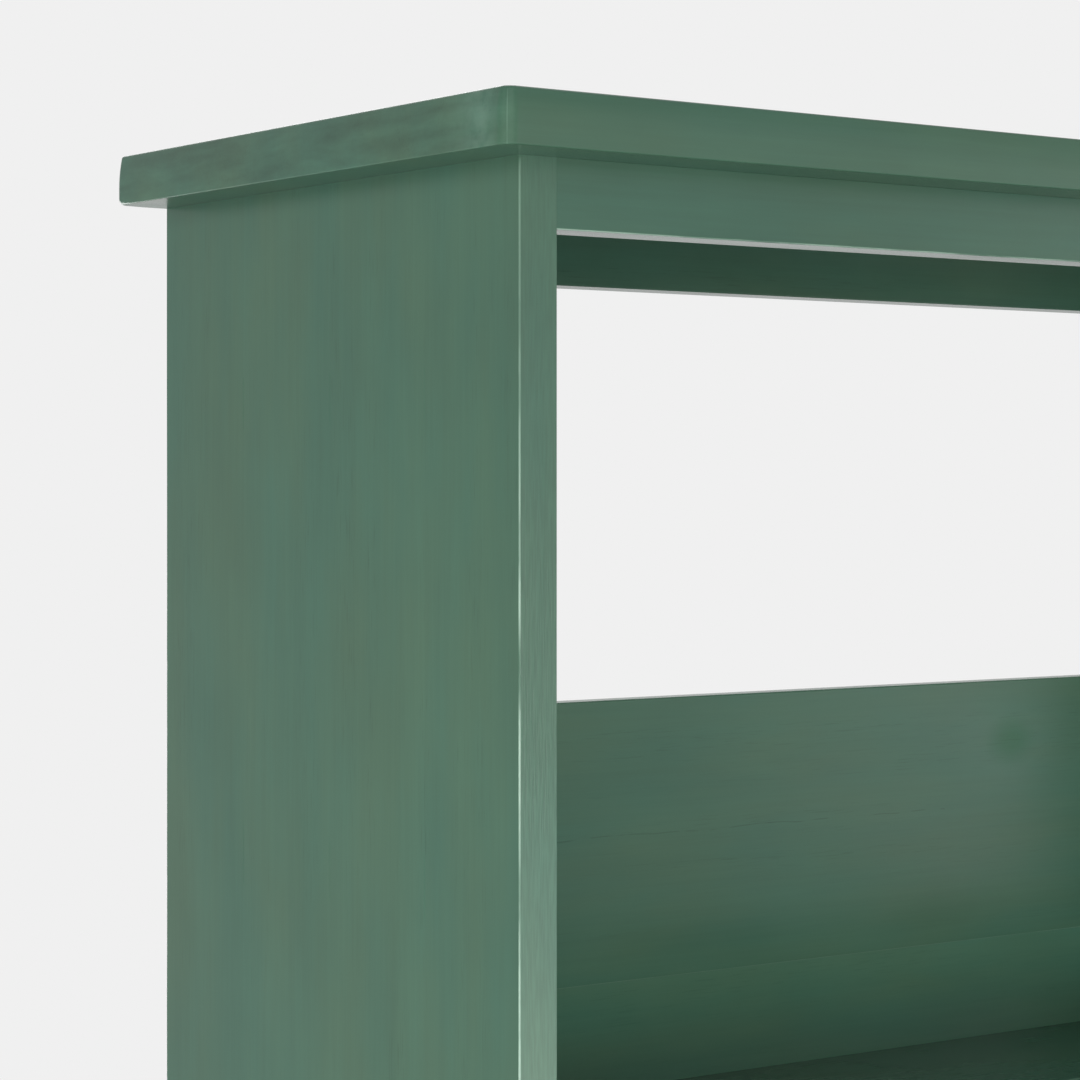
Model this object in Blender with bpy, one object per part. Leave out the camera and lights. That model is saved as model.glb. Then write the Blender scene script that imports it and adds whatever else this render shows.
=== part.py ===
"""Plant table: a painted softwood stand with an overhanging top, two full side boards, a potting tray
with a board back and a low shelf.

Metres, +Z up, front towards -Y. The origin is on the floor, under the middle of the whole outline.
"""

import math

import bmesh
import bpy
from mathutils import Matrix, Vector

# Clearances
FIT_GAP = 0.0003
OVERCUT = 0.001
POLE_MERGE = 0.000002

# Case
TOTAL_HEIGHT = 1.250
CASE_WIDTH = 0.942
SIDE_DEPTH = 0.313
SIDE_THICKNESS = 0.020

# Top
TOP_THICKNESS = 0.025
TOP_SIDE_OVERHANG = 0.029
TOP_FRONT_OVERHANG = 0.031
TOP_FRONT_CORNER_RADIUS = 0.007
TOP_BACK_CORNER_RADIUS = 0.003
TOP_ARRIS = 0.0025

# Rails
RAIL_THICKNESS = 0.022
TOP_RAIL_HEIGHT = 0.031
TRAY_RAIL_HEIGHT = 0.080
LOWER_FRONT_RAIL_HEIGHT = 0.060
LOWER_BACK_RAIL_HEIGHT = 0.080
TENON_LENGTH = 0.012
TENON_THICKNESS = 0.010
TENON_SHOULDER = 0.006

# Tray, its back and the low shelf
SHELF_THICKNESS = 0.020
TRAY_DROP = 0.482
TRAY_LIP = 0.040
BACK_BOARD_THICKNESS = 0.014
UPPER_BACK_HEIGHT = 0.159
LOWER_BACK_HEIGHT = 0.080
LOWER_BACK_RISE = 0.060
LOWER_SHELF_HEIGHT = 0.200

# Bearers and blocks, cut from one square bar
CLEAT_SIZE = 0.020
BLOCK_LEG = 0.050
BLOCK_NOSE = 0.008
BLOCK_SCREW_INSET = 0.016

# Dowels
DOWEL_DIAMETER = 0.006
DOWEL_BITE = 0.012
DOWEL_CHAMFER = 0.0008
TOP_DOWEL_INSET = 0.050
UPPER_BACK_DOWEL_INSET = 0.035
LOWER_BACK_DOWEL_INSET = 0.020

# Countersunk screws
SCREW_SHANK_DIAMETER = 0.004
SCREW_HEAD_DIAMETER = 0.008
SCREW_HEAD_HEIGHT = 0.0026
SCREW_TIP_LENGTH = 0.004
SCREW_TIP_DIAMETER = 0.0014
SCREW_BITE = 0.010
SCREW_SINK = 0.0003
SCREW_SLOT_WIDTH = 0.0012
SCREW_SLOT_LENGTH = 0.0044
SCREW_SLOT_DEPTH = 0.0014
CLEAT_SCREW_INSET = 0.045

# Foot glides
GLIDE_HEIGHT = 0.005
GLIDE_DIAMETER = 0.018
GLIDE_CHAMFER = 0.0015
GLIDE_PIN_DIAMETER = 0.003
GLIDE_PIN_LENGTH = 0.012
GLIDE_INSET = 0.035

# Facets
ARRIS = 0.0015
ARRIS_SEGMENTS = 2
ROUND_ARRIS = 0.5
TOP_ARRIS_SEGMENTS = 3
CORNER_SEGMENTS = 5
ROUND_SIDES = 12
SMOOTH_ANGLE = math.radians(30)

# Places that several pieces share
TABLE_DEPTH = SIDE_DEPTH + TOP_FRONT_OVERHANG
BACK_Y = TABLE_DEPTH / 2
CASE_FRONT_Y = BACK_Y - SIDE_DEPTH
RAIL_BACK_Y = CASE_FRONT_Y + RAIL_THICKNESS
BACK_RAIL_FRONT_Y = BACK_Y - RAIL_THICKNESS
BACK_BOARD_FRONT_Y = BACK_Y - BACK_BOARD_THICKNESS
OUTER_X = CASE_WIDTH / 2
INNER_X = OUTER_X - SIDE_THICKNESS
BETWEEN_X = INNER_X - FIT_GAP
TOP_UNDER_Z = TOTAL_HEIGHT - TOP_THICKNESS
CASE_TOP_Z = TOP_UNDER_Z - FIT_GAP
CASE_BOTTOM_Z = GLIDE_HEIGHT + FIT_GAP
TRAY_Z = TOP_UNDER_Z - TRAY_DROP
TRAY_UNDER_Z = TRAY_Z - SHELF_THICKNESS
BACK_JOINT_Z = TRAY_Z + LOWER_BACK_RISE
LOWER_UNDER_Z = LOWER_SHELF_HEIGHT - SHELF_THICKNESS
SCREW_LENGTH = CLEAT_SIZE + SCREW_BITE

GREEN_PAINT = ((0.130, 0.220, 0.165), 0.50, 0.0)
BARE_BEECH = ((0.560, 0.380, 0.220), 0.65, 0.0)
ZINC_STEEL = ((0.620, 0.620, 0.600), 0.35, 1.0)
GREY_NYLON = ((0.200, 0.200, 0.190), 0.45, 0.0)

pieces = {}
voids = {}


def clear_scene():
    """Removes every object that is already in the scene."""
    for old in list(bpy.data.objects):
        bpy.data.objects.remove(old, do_unlink=True)


def material_of(name, finish):
    """A Principled material with a colour, a roughness and a metallic value, made once per finish name."""
    found = bpy.data.materials.get(name)
    if found:
        return found
    colour, roughness, metallic = finish
    made = bpy.data.materials.new(name)
    made.use_nodes = True
    shader = made.node_tree.nodes["Principled BSDF"]
    shader.inputs["Base Color"].default_value = (*colour, 1.0)
    shader.inputs["Roughness"].default_value = roughness
    shader.inputs["Metallic"].default_value = metallic
    return made


def object_from(name, bm):
    """A scene object that holds a bmesh, which is freed."""
    bmesh.ops.recalc_face_normals(bm, faces=bm.faces)
    mesh = bpy.data.meshes.new(name)
    bm.to_mesh(mesh)
    bm.free()
    obj = bpy.data.objects.new(name, mesh)
    bpy.context.collection.objects.link(obj)
    return obj


def register(obj, table, finish_name, finish):
    """Gives a piece its finish, hangs it on the table's empty and lists it under its name."""
    if not obj.data.materials:
        obj.data.materials.append(material_of(finish_name, finish))
    obj.parent = table
    pieces[obj.name] = obj


def void_of(piece_name):
    """The mesh that collects every hole and mortise of one piece."""
    if piece_name not in voids:
        voids[piece_name] = bmesh.new()
    return voids[piece_name]


def helper(name, bm):
    """A hidden object that only shapes another piece."""
    obj = object_from(name, bm)
    obj.hide_render = True
    obj.display_type = "WIRE"
    return obj


def combine(obj, other, operation):
    """Joins a helper to a piece, or cuts it out of the piece."""
    boolean = obj.modifiers.new(other.name, "BOOLEAN")
    boolean.object = other
    boolean.operation = operation
    boolean.solver = "EXACT"


def add_box(bm, low, high):
    """A box between two corners."""
    low = Vector(low)
    high = Vector(high)
    size = high - low
    place = Matrix.Translation((low + high) / 2) @ Matrix.Diagonal((*size, 1.0))
    bmesh.ops.create_cube(bm, size=1.0, matrix=place)


def add_turned(bm, profile, place):
    """A solid of revolution about local Z. The profile lists (radius, z) from its upper pole to its lower."""
    before = set(bm.verts)
    upright = [bm.verts.new((radius, 0.0, z)) for radius, z in profile]
    edges = [bm.edges.new(pair) for pair in zip(upright, upright[1:])]
    bmesh.ops.spin(
        bm,
        geom=upright + edges,
        cent=(0.0, 0.0, 0.0),
        axis=(0.0, 0.0, 1.0),
        angle=math.tau,
        steps=ROUND_SIDES,
        use_merge=True,
    )
    added = [vert for vert in bm.verts if vert not in before]
    bmesh.ops.remove_doubles(bm, verts=added, dist=POLE_MERGE)
    added = [vert for vert in bm.verts if vert not in before]
    bmesh.ops.transform(bm, matrix=place, verts=added)


def pointing(position, direction):
    """A place whose local -Z runs along a direction."""
    turn = Vector(direction).to_track_quat("-Z", "Y").to_matrix().to_4x4()
    return Matrix.Translation(position) @ turn


def eased_bar(name, low, high, length_axis):
    """A board whose long arrises, those along its length, are eased. Its ends stay square."""
    bm = bmesh.new()
    add_box(bm, low, high)
    long_edges = []
    for edge in bm.edges:
        run = edge.verts[1].co - edge.verts[0].co
        if abs(run[length_axis]) > FIT_GAP:
            long_edges.append(edge)
    bmesh.ops.bevel(
        bm,
        geom=long_edges,
        offset=ARRIS,
        segments=ARRIS_SEGMENTS,
        profile=ROUND_ARRIS,
        affect="EDGES",
    )
    return object_from(name, bm)


def arc_points(centre, radius, start_turn):
    """A quarter circle in plan, anticlockwise from an angle given in quarter turns."""
    points = []
    for step in range(CORNER_SEGMENTS + 1):
        angle = (start_turn + step / CORNER_SEGMENTS) * math.pi / 2
        points.append((centre[0] + radius * math.cos(angle), centre[1] + radius * math.sin(angle)))
    return points


def extruded(outline, low_z, high_z):
    """The mesh of a plate with an outline in plan, between two heights."""
    bm = bmesh.new()
    base = bm.faces.new([bm.verts.new((x, y, low_z)) for x, y in outline])
    grown = bmesh.ops.extrude_face_region(bm, geom=[base])
    raised = [item for item in grown["geom"] if isinstance(item, bmesh.types.BMVert)]
    bmesh.ops.translate(bm, vec=(0.0, 0.0, high_z - low_z), verts=raised)
    return bm


def make_top(table):
    """The top board, with rounded corners in plan and eased arrises."""
    half_x = OUTER_X + TOP_SIDE_OVERHANG
    front_y = CASE_FRONT_Y - TOP_FRONT_OVERHANG
    front = TOP_FRONT_CORNER_RADIUS
    back = TOP_BACK_CORNER_RADIUS
    outline = (
        arc_points((half_x - back, BACK_Y - back), back, 0)
        + arc_points((-half_x + back, BACK_Y - back), back, 1)
        + arc_points((-half_x + front, front_y + front), front, 2)
        + arc_points((half_x - front, front_y + front), front, 3)
    )
    bm = extruded(outline, TOP_UNDER_Z, TOTAL_HEIGHT)
    rims = [edge for edge in bm.edges if abs(edge.verts[0].co.z - edge.verts[1].co.z) < FIT_GAP]
    bmesh.ops.bevel(
        bm,
        geom=rims,
        offset=TOP_ARRIS,
        segments=TOP_ARRIS_SEGMENTS,
        profile=ROUND_ARRIS,
        affect="EDGES",
    )
    register(object_from("top_board", bm), table, "green_paint", GREEN_PAINT)


def make_side(table, side, sign):
    """One full side board, from the glides up to the top."""
    low = (min(sign * INNER_X, sign * OUTER_X), CASE_FRONT_Y, CASE_BOTTOM_Z)
    high = (max(sign * INNER_X, sign * OUTER_X), BACK_Y, CASE_TOP_Z)
    board = eased_bar(f"{side}_side_board", low, high, 2)
    register(board, table, "green_paint", GREEN_PAINT)


def make_rail(table, name, front_y, low_z, height):
    """A rail between the side boards with a stub tenon at each end, and its mortises."""
    high_z = low_z + height
    low = (-BETWEEN_X, front_y, low_z)
    high = (BETWEEN_X, front_y + RAIL_THICKNESS, high_z)
    rail = eased_bar(name, low, high, 0)
    tenon_y = front_y + (RAIL_THICKNESS - TENON_THICKNESS) / 2
    tenon_low = Vector((-BETWEEN_X - TENON_LENGTH, tenon_y, low_z + TENON_SHOULDER))
    tenon_high = Vector((BETWEEN_X + TENON_LENGTH, tenon_y + TENON_THICKNESS, high_z - TENON_SHOULDER))
    bar = bmesh.new()
    add_box(bar, tenon_low, tenon_high)
    combine(rail, helper(f"{name}_tenons", bar), "UNION")
    register(rail, table, "green_paint", GREEN_PAINT)
    room = Vector((FIT_GAP, FIT_GAP, FIT_GAP))
    mortise_low = tenon_low - room
    mortise_high = tenon_high + room
    mouth_x = INNER_X - OVERCUT
    add_box(void_of("left_side_board"), mortise_low, (-mouth_x, mortise_high.y, mortise_high.z))
    add_box(void_of("right_side_board"), (mouth_x, mortise_low.y, mortise_low.z), mortise_high)


def make_rails(table):
    """Two rails under the top, the tray's front rail and two rails at the low shelf."""
    make_rail(table, "top_front_rail", CASE_FRONT_Y, CASE_TOP_Z - TOP_RAIL_HEIGHT, TOP_RAIL_HEIGHT)
    make_rail(table, "top_back_rail", BACK_RAIL_FRONT_Y, CASE_TOP_Z - TOP_RAIL_HEIGHT, TOP_RAIL_HEIGHT)
    tray_rail_low = TRAY_Z + TRAY_LIP - TRAY_RAIL_HEIGHT
    make_rail(table, "tray_front_rail", CASE_FRONT_Y, tray_rail_low, TRAY_RAIL_HEIGHT)
    lower_front_low = LOWER_UNDER_Z - FIT_GAP - LOWER_FRONT_RAIL_HEIGHT
    make_rail(table, "lower_front_rail", CASE_FRONT_Y, lower_front_low, LOWER_FRONT_RAIL_HEIGHT)
    make_rail(table, "lower_back_rail", BACK_RAIL_FRONT_Y, LOWER_UNDER_Z, LOWER_BACK_RAIL_HEIGHT)


def make_shelves(table):
    """The tray's floor and the low shelf, both between the side boards."""
    tray_low = (-BETWEEN_X, RAIL_BACK_Y + FIT_GAP, TRAY_UNDER_Z)
    tray_high = (BETWEEN_X, BACK_BOARD_FRONT_Y - FIT_GAP, TRAY_Z)
    register(eased_bar("tray_shelf", tray_low, tray_high, 0), table, "green_paint", GREEN_PAINT)
    shelf_low = (-BETWEEN_X, CASE_FRONT_Y, LOWER_UNDER_Z)
    shelf_high = (BETWEEN_X, BACK_RAIL_FRONT_Y - FIT_GAP, LOWER_SHELF_HEIGHT)
    register(eased_bar("lower_shelf", shelf_low, shelf_high, 0), table, "green_paint", GREEN_PAINT)


def dowel_profile(clearance):
    """A dowel about its middle, or its hole where a clearance is given."""
    radius = DOWEL_DIAMETER / 2 + clearance
    end = DOWEL_BITE + clearance
    nose = radius - DOWEL_CHAMFER
    return [
        (0.0, end),
        (nose, end),
        (radius, end - DOWEL_CHAMFER),
        (radius, DOWEL_CHAMFER - end),
        (nose, -end),
        (0.0, -end),
    ]


def add_dowel(table, name, position, direction, drilled):
    """A dowel centred on a joint, with its hole in both pieces."""
    place = pointing(position, direction)
    bm = bmesh.new()
    add_turned(bm, dowel_profile(0.0), Matrix.Identity(4))
    dowel = object_from(name, bm)
    dowel.matrix_world = place
    register(dowel, table, "bare_beech", BARE_BEECH)
    for piece_name in drilled:
        add_turned(void_of(piece_name), dowel_profile(FIT_GAP), place)


def make_back_board(table, name, low_z, high_z, dowel_inset):
    """A back board between the side boards, with two dowels at each end."""
    low = (-BETWEEN_X, BACK_BOARD_FRONT_Y, low_z)
    high = (BETWEEN_X, BACK_Y, high_z)
    register(eased_bar(name, low, high, 0), table, "green_paint", GREEN_PAINT)
    middle_y = (BACK_BOARD_FRONT_Y + BACK_Y) / 2
    heights = {"lower": low_z + dowel_inset, "upper": high_z - dowel_inset}
    for side, sign in (("left", -1), ("right", 1)):
        for level, z in heights.items():
            add_dowel(
                table,
                f"{name}_dowel_{side}_{level}",
                (sign * INNER_X, middle_y, z),
                (sign, 0, 0),
                (name, f"{side}_side_board"),
            )


def make_back(table):
    """Two boards behind the tray, edge to edge."""
    make_back_board(
        table,
        "upper_back_board",
        BACK_JOINT_Z + FIT_GAP,
        BACK_JOINT_Z + UPPER_BACK_HEIGHT,
        UPPER_BACK_DOWEL_INSET,
    )
    make_back_board(
        table,
        "lower_back_board",
        BACK_JOINT_Z - LOWER_BACK_HEIGHT,
        BACK_JOINT_Z,
        LOWER_BACK_DOWEL_INSET,
    )


def make_top_dowels(table):
    """Three dowels between the top and each side board."""
    x = OUTER_X - SIDE_THICKNESS / 2
    places = {
        "front": CASE_FRONT_Y + TOP_DOWEL_INSET,
        "middle": (CASE_FRONT_Y + BACK_Y) / 2,
        "back": BACK_Y - TOP_DOWEL_INSET,
    }
    for side, sign in (("left", -1), ("right", 1)):
        for where, y in places.items():
            add_dowel(
                table,
                f"top_dowel_{side}_{where}",
                (sign * x, y, TOP_UNDER_Z),
                (0, 0, 1),
                ("top_board", f"{side}_side_board"),
            )


def screw_profile(clearance, rise):
    """A countersunk screw from its head face down to its tip. The rise lifts the head face of a hole."""
    head = SCREW_HEAD_DIAMETER / 2 + clearance
    shank = SCREW_SHANK_DIAMETER / 2 + clearance
    tip = SCREW_LENGTH + clearance
    profile = [(0.0, rise), (head, rise)]
    if rise:
        profile.append((head, 0.0))
    return profile + [
        (shank, -SCREW_HEAD_HEIGHT),
        (shank, SCREW_TIP_LENGTH - tip),
        (SCREW_TIP_DIAMETER / 2 + clearance, -tip),
        (0.0, -tip),
    ]


def screw_mesh():
    """One screw with a cross slot in its head, which every screw shares."""
    bm = bmesh.new()
    add_turned(bm, screw_profile(0.0, 0.0), Matrix.Identity(4))
    model = helper("screw_model", bm)
    half_length = SCREW_SLOT_LENGTH / 2
    half_width = SCREW_SLOT_WIDTH / 2
    for axis, (x, y) in (("x", (half_length, half_width)), ("y", (half_width, half_length))):
        slot = bmesh.new()
        add_box(slot, (-x, -y, -SCREW_SLOT_DEPTH), (x, y, OVERCUT))
        combine(model, helper(f"screw_slot_{axis}", slot), "DIFFERENCE")
    graph = bpy.context.evaluated_depsgraph_get()
    return bpy.data.meshes.new_from_object(model.evaluated_get(graph))


def add_screw(table, name, shared_mesh, position, direction, drilled):
    """A screw whose head face sits at a point, with its hole in every piece that it passes."""
    sunk = Vector(position) + Vector(direction) * SCREW_SINK
    screw = bpy.data.objects.new(name, shared_mesh)
    bpy.context.collection.objects.link(screw)
    place = pointing(sunk, direction)
    screw.matrix_world = place
    register(screw, table, "zinc_steel", ZINC_STEEL)
    for piece_name in drilled:
        add_turned(void_of(piece_name), screw_profile(FIT_GAP, SCREW_SINK + OVERCUT), place)


def make_cleat(table, name, side, sign, front_y, back_y, under_z, shared_screw):
    """A shelf bearer along one side board, fixed with two screws."""
    near_x = sign * (BETWEEN_X - CLEAT_SIZE)
    far_x = sign * BETWEEN_X
    high_z = under_z - FIT_GAP
    low = (min(near_x, far_x), front_y + FIT_GAP, high_z - CLEAT_SIZE)
    high = (max(near_x, far_x), back_y - FIT_GAP, high_z)
    register(eased_bar(name, low, high, 1), table, "green_paint", GREEN_PAINT)
    middle_z = high_z - CLEAT_SIZE / 2
    ends = {"front": front_y + CLEAT_SCREW_INSET, "back": back_y - CLEAT_SCREW_INSET}
    for where, y in ends.items():
        add_screw(
            table,
            f"{name}_screw_{where}",
            shared_screw,
            (near_x, y, middle_z),
            (sign, 0, 0),
            (name, f"{side}_side_board"),
        )


def make_cleats(table, shared_screw):
    """Bearers at both ends of the tray and of the low shelf."""
    for side, sign in (("left", -1), ("right", 1)):
        make_cleat(
            table,
            f"tray_cleat_{side}",
            side,
            sign,
            RAIL_BACK_Y,
            BACK_BOARD_FRONT_Y,
            min(TRAY_UNDER_Z, BACK_JOINT_Z - LOWER_BACK_HEIGHT),
            shared_screw,
        )
        make_cleat(
            table,
            f"lower_cleat_{side}",
            side,
            sign,
            RAIL_BACK_Y,
            BACK_RAIL_FRONT_Y,
            LOWER_UNDER_Z,
            shared_screw,
        )


def make_corner_block(table, name, sign, corner_y, inward, shared_screw):
    """A three-cornered block in the angle of a rail and a side board, screwed up into the top."""
    corner_x = sign * BETWEEN_X
    start_y = corner_y + inward * FIT_GAP
    plan = [
        (0.0, 0.0),
        (BLOCK_LEG, 0.0),
        (BLOCK_LEG, BLOCK_NOSE),
        (BLOCK_NOSE, BLOCK_LEG),
        (0.0, BLOCK_LEG),
    ]
    outline = [(corner_x - sign * across, start_y + inward * along) for across, along in plan]
    low_z = CASE_TOP_Z - CLEAT_SIZE
    block = object_from(name, extruded(outline, low_z, CASE_TOP_Z))
    register(block, table, "green_paint", GREEN_PAINT)
    add_screw(
        table,
        f"{name}_screw",
        shared_screw,
        (corner_x - sign * BLOCK_SCREW_INSET, start_y + inward * BLOCK_SCREW_INSET, low_z),
        (0, 0, 1),
        (name, "top_board"),
    )


def make_corner_blocks(table, shared_screw):
    """Blocks in the four inner corners under the top."""
    for side, sign in (("left", -1), ("right", 1)):
        make_corner_block(table, f"corner_block_front_{side}", sign, RAIL_BACK_Y, 1, shared_screw)
        make_corner_block(table, f"corner_block_back_{side}", sign, BACK_RAIL_FRONT_Y, -1, shared_screw)


def glide_pin_profile(clearance, low_z):
    """A glide's pin from its upper end down to a height, or its hole where a clearance is given."""
    radius = GLIDE_PIN_DIAMETER / 2 + clearance
    high_z = GLIDE_HEIGHT + GLIDE_PIN_LENGTH + clearance
    return [(0.0, high_z), (radius, high_z), (radius, low_z)]


def make_glides(table):
    """Round glides with a pin up into the side boards' lower edges."""
    radius = GLIDE_DIAMETER / 2
    x = OUTER_X - SIDE_THICKNESS / 2
    profile = glide_pin_profile(0.0, GLIDE_HEIGHT) + [
        (radius, GLIDE_HEIGHT),
        (radius, GLIDE_CHAMFER),
        (radius - GLIDE_CHAMFER, 0.0),
        (0.0, 0.0),
    ]
    pin_void = glide_pin_profile(FIT_GAP, GLIDE_HEIGHT - OVERCUT) + [(0.0, GLIDE_HEIGHT - OVERCUT)]
    ends = {"front": CASE_FRONT_Y + GLIDE_INSET, "back": BACK_Y - GLIDE_INSET}
    for side, sign in (("left", -1), ("right", 1)):
        for where, y in ends.items():
            place = Matrix.Translation((sign * x, y, 0.0))
            bm = bmesh.new()
            add_turned(bm, profile, Matrix.Identity(4))
            glide = object_from(f"glide_{where}_{side}", bm)
            glide.matrix_world = place
            register(glide, table, "grey_nylon", GREY_NYLON)
            add_turned(void_of(f"{side}_side_board"), pin_void, place)


def drill_pieces():
    """Cuts each piece's collected holes and mortises."""
    for piece_name, bm in voids.items():
        combine(pieces[piece_name], helper(f"{piece_name}_holes", bm), "DIFFERENCE")


def smooth_round_pieces():
    """Shades round faces smooth and keeps the square edges crisp."""
    for obj in pieces.values():
        obj.data.shade_smooth()
        obj.data.set_sharp_from_angle(angle=SMOOTH_ANGLE)


def main():
    """Builds the table piece by piece, then cuts the joints."""
    clear_scene()
    table = bpy.data.objects.new("plant_table", None)
    bpy.context.collection.objects.link(table)
    make_top(table)
    make_side(table, "left", -1)
    make_side(table, "right", 1)
    make_rails(table)
    make_shelves(table)
    make_back(table)
    make_top_dowels(table)
    shared_screw = screw_mesh()
    make_cleats(table, shared_screw)
    make_corner_blocks(table, shared_screw)
    make_glides(table)
    drill_pieces()
    smooth_round_pieces()


main()
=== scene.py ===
"""Looks of the plant table: satin grey-green paint on pine boards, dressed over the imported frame.

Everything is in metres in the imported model's frame: +X right, +Y to the wall, +Z up.
"""

import logging
import math
from collections.abc import Mapping, Sequence
from dataclasses import dataclass, fields, replace
from enum import Enum

import bpy
import numpy as np
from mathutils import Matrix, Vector


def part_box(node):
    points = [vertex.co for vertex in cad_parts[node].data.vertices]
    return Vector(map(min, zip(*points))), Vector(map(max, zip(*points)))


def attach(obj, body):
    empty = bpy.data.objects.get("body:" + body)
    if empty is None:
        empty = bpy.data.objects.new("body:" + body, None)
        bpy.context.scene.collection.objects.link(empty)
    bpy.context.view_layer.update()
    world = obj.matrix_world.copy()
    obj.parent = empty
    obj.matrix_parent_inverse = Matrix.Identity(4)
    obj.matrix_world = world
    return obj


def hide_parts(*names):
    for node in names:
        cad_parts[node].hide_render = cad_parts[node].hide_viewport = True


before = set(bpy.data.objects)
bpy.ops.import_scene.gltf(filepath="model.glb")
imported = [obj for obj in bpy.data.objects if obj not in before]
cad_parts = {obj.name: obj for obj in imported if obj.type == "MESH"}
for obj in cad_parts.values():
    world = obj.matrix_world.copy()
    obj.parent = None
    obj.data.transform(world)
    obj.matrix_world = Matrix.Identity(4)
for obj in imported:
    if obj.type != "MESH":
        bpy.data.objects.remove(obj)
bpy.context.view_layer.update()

log = logging.getLogger("plant_table")

Span = tuple[float, float]
Place = tuple[float, float, float]
Four = tuple[float, float, float, float]
Stages = tuple[tuple[str, str, str], ...]
Tree = bpy.types.NodeTree
Socket = bpy.types.NodeSocket
Sockets = bpy.types.bpy_prop_collection
Mark = Socket | float

MM = 0.001
PHOTO_SIDE = 1080
ARC_STEPS = 5
QUARTER_TURN = np.linspace(0.0, math.pi / 2, ARC_STEPS + 1)
CORNER_SIGNS = ((1, 1), (-1, 1), (-1, -1), (1, -1))
LEAST_RADIUS = 0.15 * MM
SMOOTH_BELOW = math.radians(32)
STUB_TENON = 12.0 * MM
ONE_STAVE_MM = 2000.0
GLUE_LINE = 0.32 * MM
CLOSED_ENDS = (GLUE_LINE, 0.0, 0.0)
CLOSED_JOINT = (GLUE_LINE, 0.0, GLUE_LINE)

# The sockets of a Mix node share their names, so they go by their places.
NUMBER_A, NUMBER_B = 2, 3
COLOUR_A, COLOUR_B, COLOUR_OUT = 6, 7, 2


class Axis(Enum):
    """A direction of the row frame, by its place in a point."""

    X = 0
    Y = 1
    Z = 2

    def crossing(self) -> tuple[int, int]:
        """Gives the other two axes, ordered so that an outline turns left seen from this axis's high end."""
        return (self.value + 1) % 3, (self.value + 2) % 3


class Seat(Enum):
    """Where a turned fixing's own origin lies on its axis, as a share of its length from the low end."""

    FOOT = 0.0
    MIDDLE = 0.5
    HEAD = 1.0


def linear(code: str) -> Four:
    """Turns an sRGB hex colour into linear values for a socket.

    Args:
        code: The colour as "#RRGGBB".

    Returns:
        Red, green, blue and an alpha of 1.
    """
    shares = [int(code[i : i + 2], 16) / 255 for i in (1, 3, 5)]
    red, green, blue = (s / 12.92 if s <= 0.04045 else ((s + 0.055) / 1.055) ** 2.4 for s in shares)
    return red, green, blue, 1.0


def add_node(
    tree: Tree,
    kind: str,
    feeds: Mapping[str | int, object] | None = None,
    out: str | int = 0,
    **settings: object,
) -> Socket | None:
    """Adds one node to a shader or geometry tree.

    Args:
        tree: The tree that gets the node.
        kind: Blender's own name of the node.
        feeds: For each input, by name or place, a constant, an output to link or a list of outputs.
        out: The output to hand back, by name or place.
        settings: The node's own settings, such as operation.

    Returns:
        The chosen output, or None where the node ends its tree.
    """
    node = tree.nodes.new(kind)
    for name, value in settings.items():
        setattr(node, name, value)
    for key, value in (feeds or {}).items():
        for feed in value if isinstance(value, list) else [value]:
            if isinstance(feed, Socket):
                tree.links.new(feed, node.inputs[key])
            else:
                node.inputs[key].default_value = feed
    return node.outputs[out] if len(node.outputs) else None


def wander(places: np.ndarray, pitch: float, seed: int) -> np.ndarray:
    """Draws a smooth random line, as a hand with a sanding block leaves it.

    Args:
        places: Distances along the line.
        pitch: Distance between the line's turning points.
        seed: Fixes the draw.

    Returns:
        A value from -1 to 1 for each place.
    """
    turns = np.arange(places.min() - pitch, places.max() + 2 * pitch, pitch)
    return np.interp(places, turns, np.random.default_rng(seed).uniform(-1, 1, len(turns)))


def add_object(name: str, data: bpy.types.ID) -> bpy.types.Object:
    """Puts a mesh, a lamp or a camera into the scene.

    Args:
        name: The object's name.
        data: What the object shows.

    Returns:
        The new object, at the origin.
    """
    made = bpy.data.objects.new(name, data)
    bpy.context.scene.collection.objects.link(made)
    return made


def settle(piece: bpy.types.Object) -> None:
    """Turns a piece and its live modifiers into one plain mesh.

    Args:
        piece: The object, whose modifiers are taken off.
    """
    view = bpy.context.evaluated_depsgraph_get()
    plain = bpy.data.meshes.new_from_object(
        piece.evaluated_get(view), preserve_all_data_layers=True, depsgraph=view
    )
    live = piece.data
    piece.modifiers.clear()
    piece.data = plain
    bpy.data.meshes.remove(live)
    plain.name = piece.name


def enter(piece: bpy.types.Object, slot: str, nodes: Sequence[str]) -> bpy.types.Object:
    """Puts a finished piece on the frame in place of its CAD nodes.

    Args:
        piece: The piece, at the origin with its place in its mesh.
        slot: Not used.
        nodes: The CAD nodes that the piece stands for.

    Returns:
        The same piece.
    """
    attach(piece, "root")
    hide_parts(*nodes)
    return piece


# Finishes


def new_material(name: str) -> bpy.types.Material:
    """Makes a material whose tree is empty.

    Args:
        name: The material's name.

    Returns:
        The new material.
    """
    made = bpy.data.materials.new(name)
    made.use_nodes = True
    made.node_tree.nodes.clear()
    return made


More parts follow.
